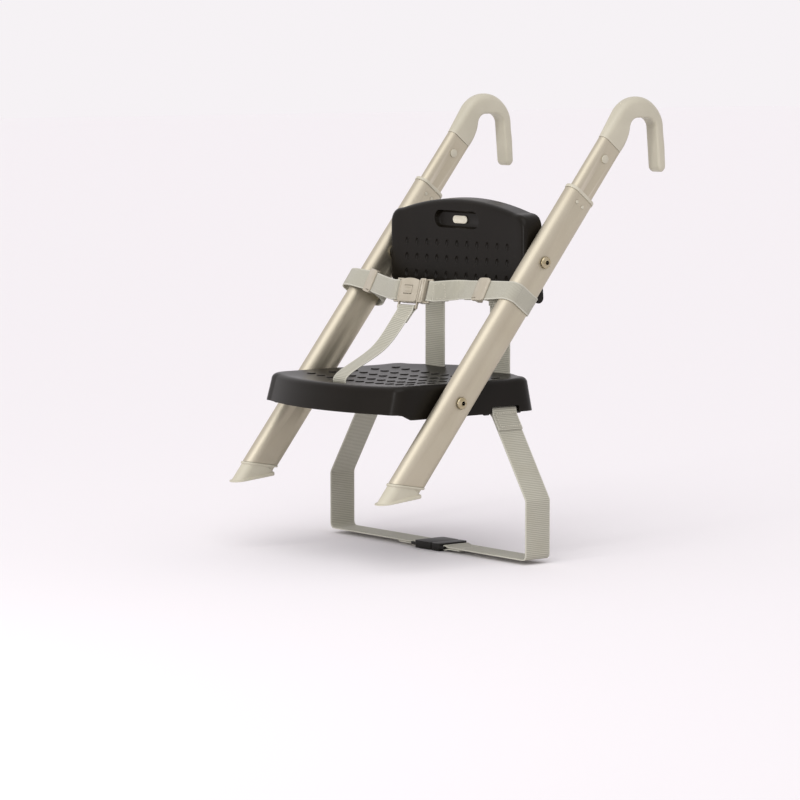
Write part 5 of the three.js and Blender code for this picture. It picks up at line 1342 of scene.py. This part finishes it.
# Two arms and a bar at x beyond a buckle's end, for webbing sewn round the bar
def webFrame(end, side):
    inside = webbing["narrow"] / 2 + buckle["beside"]
    radius, arm = buckle["barRadius"], buckle["arm"]
    low, high = sorted((end - side * arm, end + side * (buckle["barReach"] + radius)))
    arms = []
    for half in (-1, 1):
        z = sorted((half * inside, half * (inside + arm)))
        arms.append(box("arm", (low, -radius, z[0]), (high, radius, z[1]), buckle["armEdge"]))
    bar = barX("bar", radius, -inside - arm / 2, inside + arm / 2, 0, 0, 32)
    moved(bar, Matrix.Translation((end + side * buckle["barReach"], 0, 0)) @ Matrix.Rotation(-pi / 2, 4, "Y"))
    return joined(*arms, bar)


def makeSocket(name):
    length, height, depth, wall = (buckle[key] for key in ("length", "height", "thickness", "wall"))
    body = slab(name, roundedOutline(length, height, buckle["corner"], buckle["bow"]), -depth / 2, depth / 2,
                buckle["edge"])
    half = buckle["tongueHeight"] / 2 + leg["clearance"]
    inner, left = depth / 2 - wall, -length / 2
    wide, tall = buckle["window"]
    cutAway(body, box("room", (wall + left, -inner, -half), (length, inner, half)),
            box("window", (-wide / 2, -depth, -tall / 2), (wide / 2, 0, tall / 2)))
    (start, stop), (low, high) = buckle["beadWidth"], buckle["beadEnds"]
    bead = box("bead", (left + start, -depth / 2 - buckle["bead"], low - height / 2),
               (left + stop, buckle["beadSunk"] - depth / 2, height / 2 - high), buckle["beadEdge"])
    foot = moved(webFrame(height / 2, 1), Matrix.Rotation(pi / 2, 4, "Y"))
    return joined(body, bead, foot, webFrame(left, -1))


def makePlug(name):
    face, depth, height = buckle["length"] / 2 + leg["clearance"], buckle["thickness"], buckle["height"]
    end, half = face + buckle["plugBody"], buckle["tongueHeight"] / 2
    outline = [(x + (face + end) / 2, z) for x, z in
               roundedOutline(buckle["plugBody"], height, buckle["corner"] / 2)]
    body = slab(name, outline, -depth / 2, depth / 2, buckle["edge"])
    gaps, long = buckle["ridgeGaps"], height / 2 - buckle["ridgeInset"]
    deep = buckle["ridgeDepth"] - depth / 2
    cuts = [(*gap, long) for gap in gaps] + [(gaps[0][1], gaps[1][0], buckle["notchHalf"])]
    cutAway(body, *[box("gap", (face + start, -depth, -reach), (face + stop, deep, reach))
                    for start, stop, reach in cuts])
    rear = depth / 2 - buckle["wall"] - leg["clearance"]
    tongue = box("tongue", (face - buckle["tongueLength"], rear - buckle["tongueThickness"], -half),
                 (face + buckle["tongueRoot"], rear, half), buckle["tongueEdge"])
    return joined(body, tongue, webFrame(end, 1))


def makeButton(name):
    wide, tall = buckle["button"]
    front = -buckle["thickness"] / 2
    seatAt = front + buckle["wall"] + leg["clearance"]
    face = front - buckle["buttonProud"]
    stem = slab(name, roundedOutline(wide, tall, buckle["buttonCorner"]), face,
                seatAt + buckle["flange"][0] / 2, buckle["buttonEdge"])
    long, high, deep = buckle["groove"]
    for end in (-1, 1):
        z = end * buckle["grooveSpacing"] / 2
        cutAway(stem, box("groove", (-long / 2, front - overrun, z - high / 2),
                          (long / 2, face + deep, z + high / 2)))
    rim, half = buckle["flange"]
    return joined(stem, box("flange", (-wide / 2 - rim, seatAt, -half), (wide / 2 + rim, seatAt + rim, half)))


for make, node, body in ((makeSocket, "buckle_socket", "frame"), (makePlug, "buckle_plug", "plug"),
                         (makeButton, "buckle_button", "button")):
    piece = moved(smoothed(make(pieceName(node))), buckleFrame)
    dressed(piece, acetal, body, node)
print("lap buckle made")


# Slider on the lap belt: a bowed front plate with a raised rim at its outer side and a lip over a
# slot at its foot, and behind it a ring that holds both layers of the belt
slider = {
    "share": 0.737, "length": 0.024, "height": 0.030, "corner": 0.0045, "front": 0.0013, "bow": 0.0018,
    "rim": 0.0009, "rimAt": 0.78, "rimHalf": 0.16, "edge": 0.0007, "rear": 0.0016, "ringLength": 0.009,
    "ringSunk": 0.001, "lip": 0.0034, "lipSlot": (0.009, 0.001), "lipInset": 0.0012, "lipWall": 0.0009,
}


def makeSlider(side, name):
    front = -webbing["thickness"] / 2 - leg["clearance"]
    rear = plyStep + webbing["thickness"] / 2 + leg["clearance"]
    half, tall, corner, round = slider["length"] / 2, slider["height"] / 2, slider["corner"], slider["edge"]
    rows = []
    for step in range(41):
        share = sin(radians(90) * (step / 20 - 1))
        x = share * half * side
        past = max(0, abs(share) * half - (half - corner))
        high = tall - corner + sqrt(max(0, corner * corner - past * past)) * 0.999
        bow = slider["bow"] * (1 - share * share)
        rim = slider["rim"] * max(0, 1 - ((share - slider["rimAt"]) / slider["rimHalf"]) ** 2)
        face = front - slider["front"] - bow - rim
        line = [(face + round - round * cos(radians(a)), high - round + round * sin(radians(a)))
                for a in (0, 22, 45, 68, 90)]
        line = [(y, -z) for y, z in line[::-1]] + line + [(front, high), (front, -high)]
        rows.append([Vector((x, y, z)) for y, z in line])
    plate = skin(name + "Slider", rows)
    long, gap = slider["lipSlot"]
    z, start = slider["lip"] - tall, half - slider["lipInset"]
    low, high = sorted((-side * start, -side * (start - long)))
    cutAway(plate, box("lipSlot", (low, front - overrun, z - gap / 2),
                       (high, front - slider["lipWall"], z + gap / 2)))
    inside, long = webbing["narrow"] / 2 + buckle["beside"], slider["ringLength"] / 2
    ring = box("ring", (-long, front - slider["ringSunk"], -tall), (long, rear + slider["rear"], tall), round)
    joined(plate, cutAway(ring, box("hollow", (-half, front, -inside), (half, rear, inside))))
    inner, outer, along, width = straightRun(side, lap[name])
    place = turnedTo(along * side, width.cross(along) * side, width)
    moved(plate, Matrix.Translation(inner.lerp(outer, slider["share"])) @ place)
    return smoothed(plate)


for side, name in bothSides:
    frames = framesOf(easedRoute(lapRoute(side, lap[name])))
    piece = makeStrap(name + "LapStrap", frames, webbing["narrow"], lapWoven, "hung", name + "_lap_strap",
                      (0, lap["ply"], 1))
    if side < 0:
        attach(piece, "frame")
    else:
        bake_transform(piece)
    dressed(makeSlider(side, name), acetal, name + "_belt_slider", name + "_slider")
print("lap belt made")


# Crotch strap: from its rod under the seat, up through its slot and on to the buckle's foot
low = fold(Vector((0, crotchY, crotchRodZ)), suspension["rodRadius"], upwards, backwards, across)
slotTop = low[-1][0]
bar = buckleFrame @ Vector((0, 0, -buckle["height"] / 2 - buckle["barReach"]))
middle = slotTop + Vector([share * r for share, r in zip(crotch["middle"], bar - slotTop)])
width = inBuckle(across)
along = middle - bar
along = (along - width * along.dot(width)).normalized()
top = fold(bar, buckle["barRadius"], along, along.cross(width), width)
main = throughPlaces([low[-1], (slotTop + upwards * crotch["rise"], across),
                      (middle, across.lerp(width, 0.5)), top[-1]], 12)
frames = betweenBars(low, main, top[::-1], (crotch["rodPly"], backwards),
                     (crotch["ply"], along.cross(width)))
length = frames[-1]["at"]
piece = makeStrap("crotchStrap", frames, webbing["narrow"], narrowRibbed, "stretched", "crotch_strap",
                  (length - crotch["ply"], length - stitch["endGap"], -1))
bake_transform(piece)
print("crotch strap made")


# Lower straps: from a bar under the seat's side, down at the side and in to their buckle
for side, name in bothSides:
    barPlace = Vector((side * (panelHalf - strapBar["inset"]), under["y"], skirtEdge + strapBar["rise"]))
    shoulder = Vector((side * under["x"], under["y"], -under["shoulder"]))
    along = (shoulder - barPlace).normalized()
    outward = along.cross(backwards) * -side
    top = fold(barPlace, strapBar["radius"], along, outward, backwards)
    turn = [(Vector((side * x, under["y"], z)), backwards) for x, z in
            arc(under["x"] - under["turn"], under["turn"] - under["depth"], under["turn"], 0, -90, 12)]
    end = Vector((side * (under[name] + buckle["barReach"]), under["y"], -under["depth"] - plyStep / 2))
    low = fold(end, buckle["barRadius"], across * side, upwards, backwards)[::-1]
    main = easedRoute([top[-1], (shoulder, backwards), *turn, low[0]], 0)
    frames = betweenBars(top, main, low, (under["ply"], outward), (under["ply"], upwards))
    length = frames[-1]["at"]
    piece = makeStrap(name + "LowerStrap", frames, webbing["wide"], wideRibbed, "stretched",
                      name + "_chair_strap", (0, under["ply"], 1),
                      (length - under["ply"], length - stitch["endGap"], -1))
    if side < 0:
        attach(piece, "seat")
    else:
        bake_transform(piece)
bpy.data.objects.remove(masterStitch)
print("lower straps made")


# A plain pale floor, on which only the object's soft shadow shows
floor = added(bpy.ops.mesh.primitive_plane_add, "floor", size=40, location=(0, 0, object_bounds()[0].z - 0.0005))
paper, _, _ = startMaterial("mattPaper", Roughness=0.95, Specular_IOR_Level=0.1,
                            Base_Color=linearColour("#F4F1F3"))
floor.data.materials.append(paper)


def aimed(thing, direction):
    thing.rotation_euler = Vector(direction).to_track_quat("-Z", "Y").to_euler()


# The broad light from above is the same all over the floor, so that the floor doesn't darken far off
overhead = added(bpy.ops.object.light_add, "overhead", type="SUN", location=(0.7, -0.8, 1.7))
overhead.data.angle, overhead.data.energy = radians(60), 1.2
aimed(overhead, (-0.35, 0.42, -0.84))

# A tall narrow box of light in front draws the soft upright highlights on the rounded corners
strip = added(bpy.ops.object.light_add, "frontStrip", type="AREA", location=(0.45, -1.85, 0.4))
strip.data.shape = "RECTANGLE"
strip.data.size, strip.data.size_y, strip.data.energy = 0.2, 1.0, 10
aimed(strip, (-0.22, 1, -0.06))

# White behind the object, for the camera and in reflections; a quieter grey for the rest
world = bpy.data.worlds.new("studio")
bpy.context.scene.world = world
world.use_nodes = True
sky = world.node_tree
rays = addNode(sky, "LightPath").outputs
seen = addMath(sky, "ADD", rays["Is Camera Ray"], rays["Is Glossy Ray"])
shown = addMath(sky, "ADD", seen, rays["Is Transmission Ray"], use_clamp=True)
backdrop = sky.nodes["Background"]
backdrop.inputs["Color"].default_value = (1, 0.965, 0.99, 1)
sky.links.new(addRange(sky, shown, 0, 1, 0.7, 0.92), backdrop.inputs["Strength"])

# The camera stands where the photographer's did, by the legs' lines
eyeLevel = {"place": (3.5164, -2.6302, 0.5469), "turn": 51.70, "fall": 5.655, "lens": 166.5}
camera = added(bpy.ops.object.camera_add, "Camera", location=eyeLevel["place"])
turn, fall = radians(eyeLevel["turn"]), radians(eyeLevel["fall"])
aimed(camera, (-sin(turn) * cos(fall), cos(turn) * cos(fall), -sin(fall)))
camera.data.lens, camera.data.sensor_width, camera.data.clip_end = eyeLevel["lens"], 36, 50
bpy.context.scene.camera = camera
bpy.context.scene.view_settings.view_transform = "Standard"

print("scene ready")
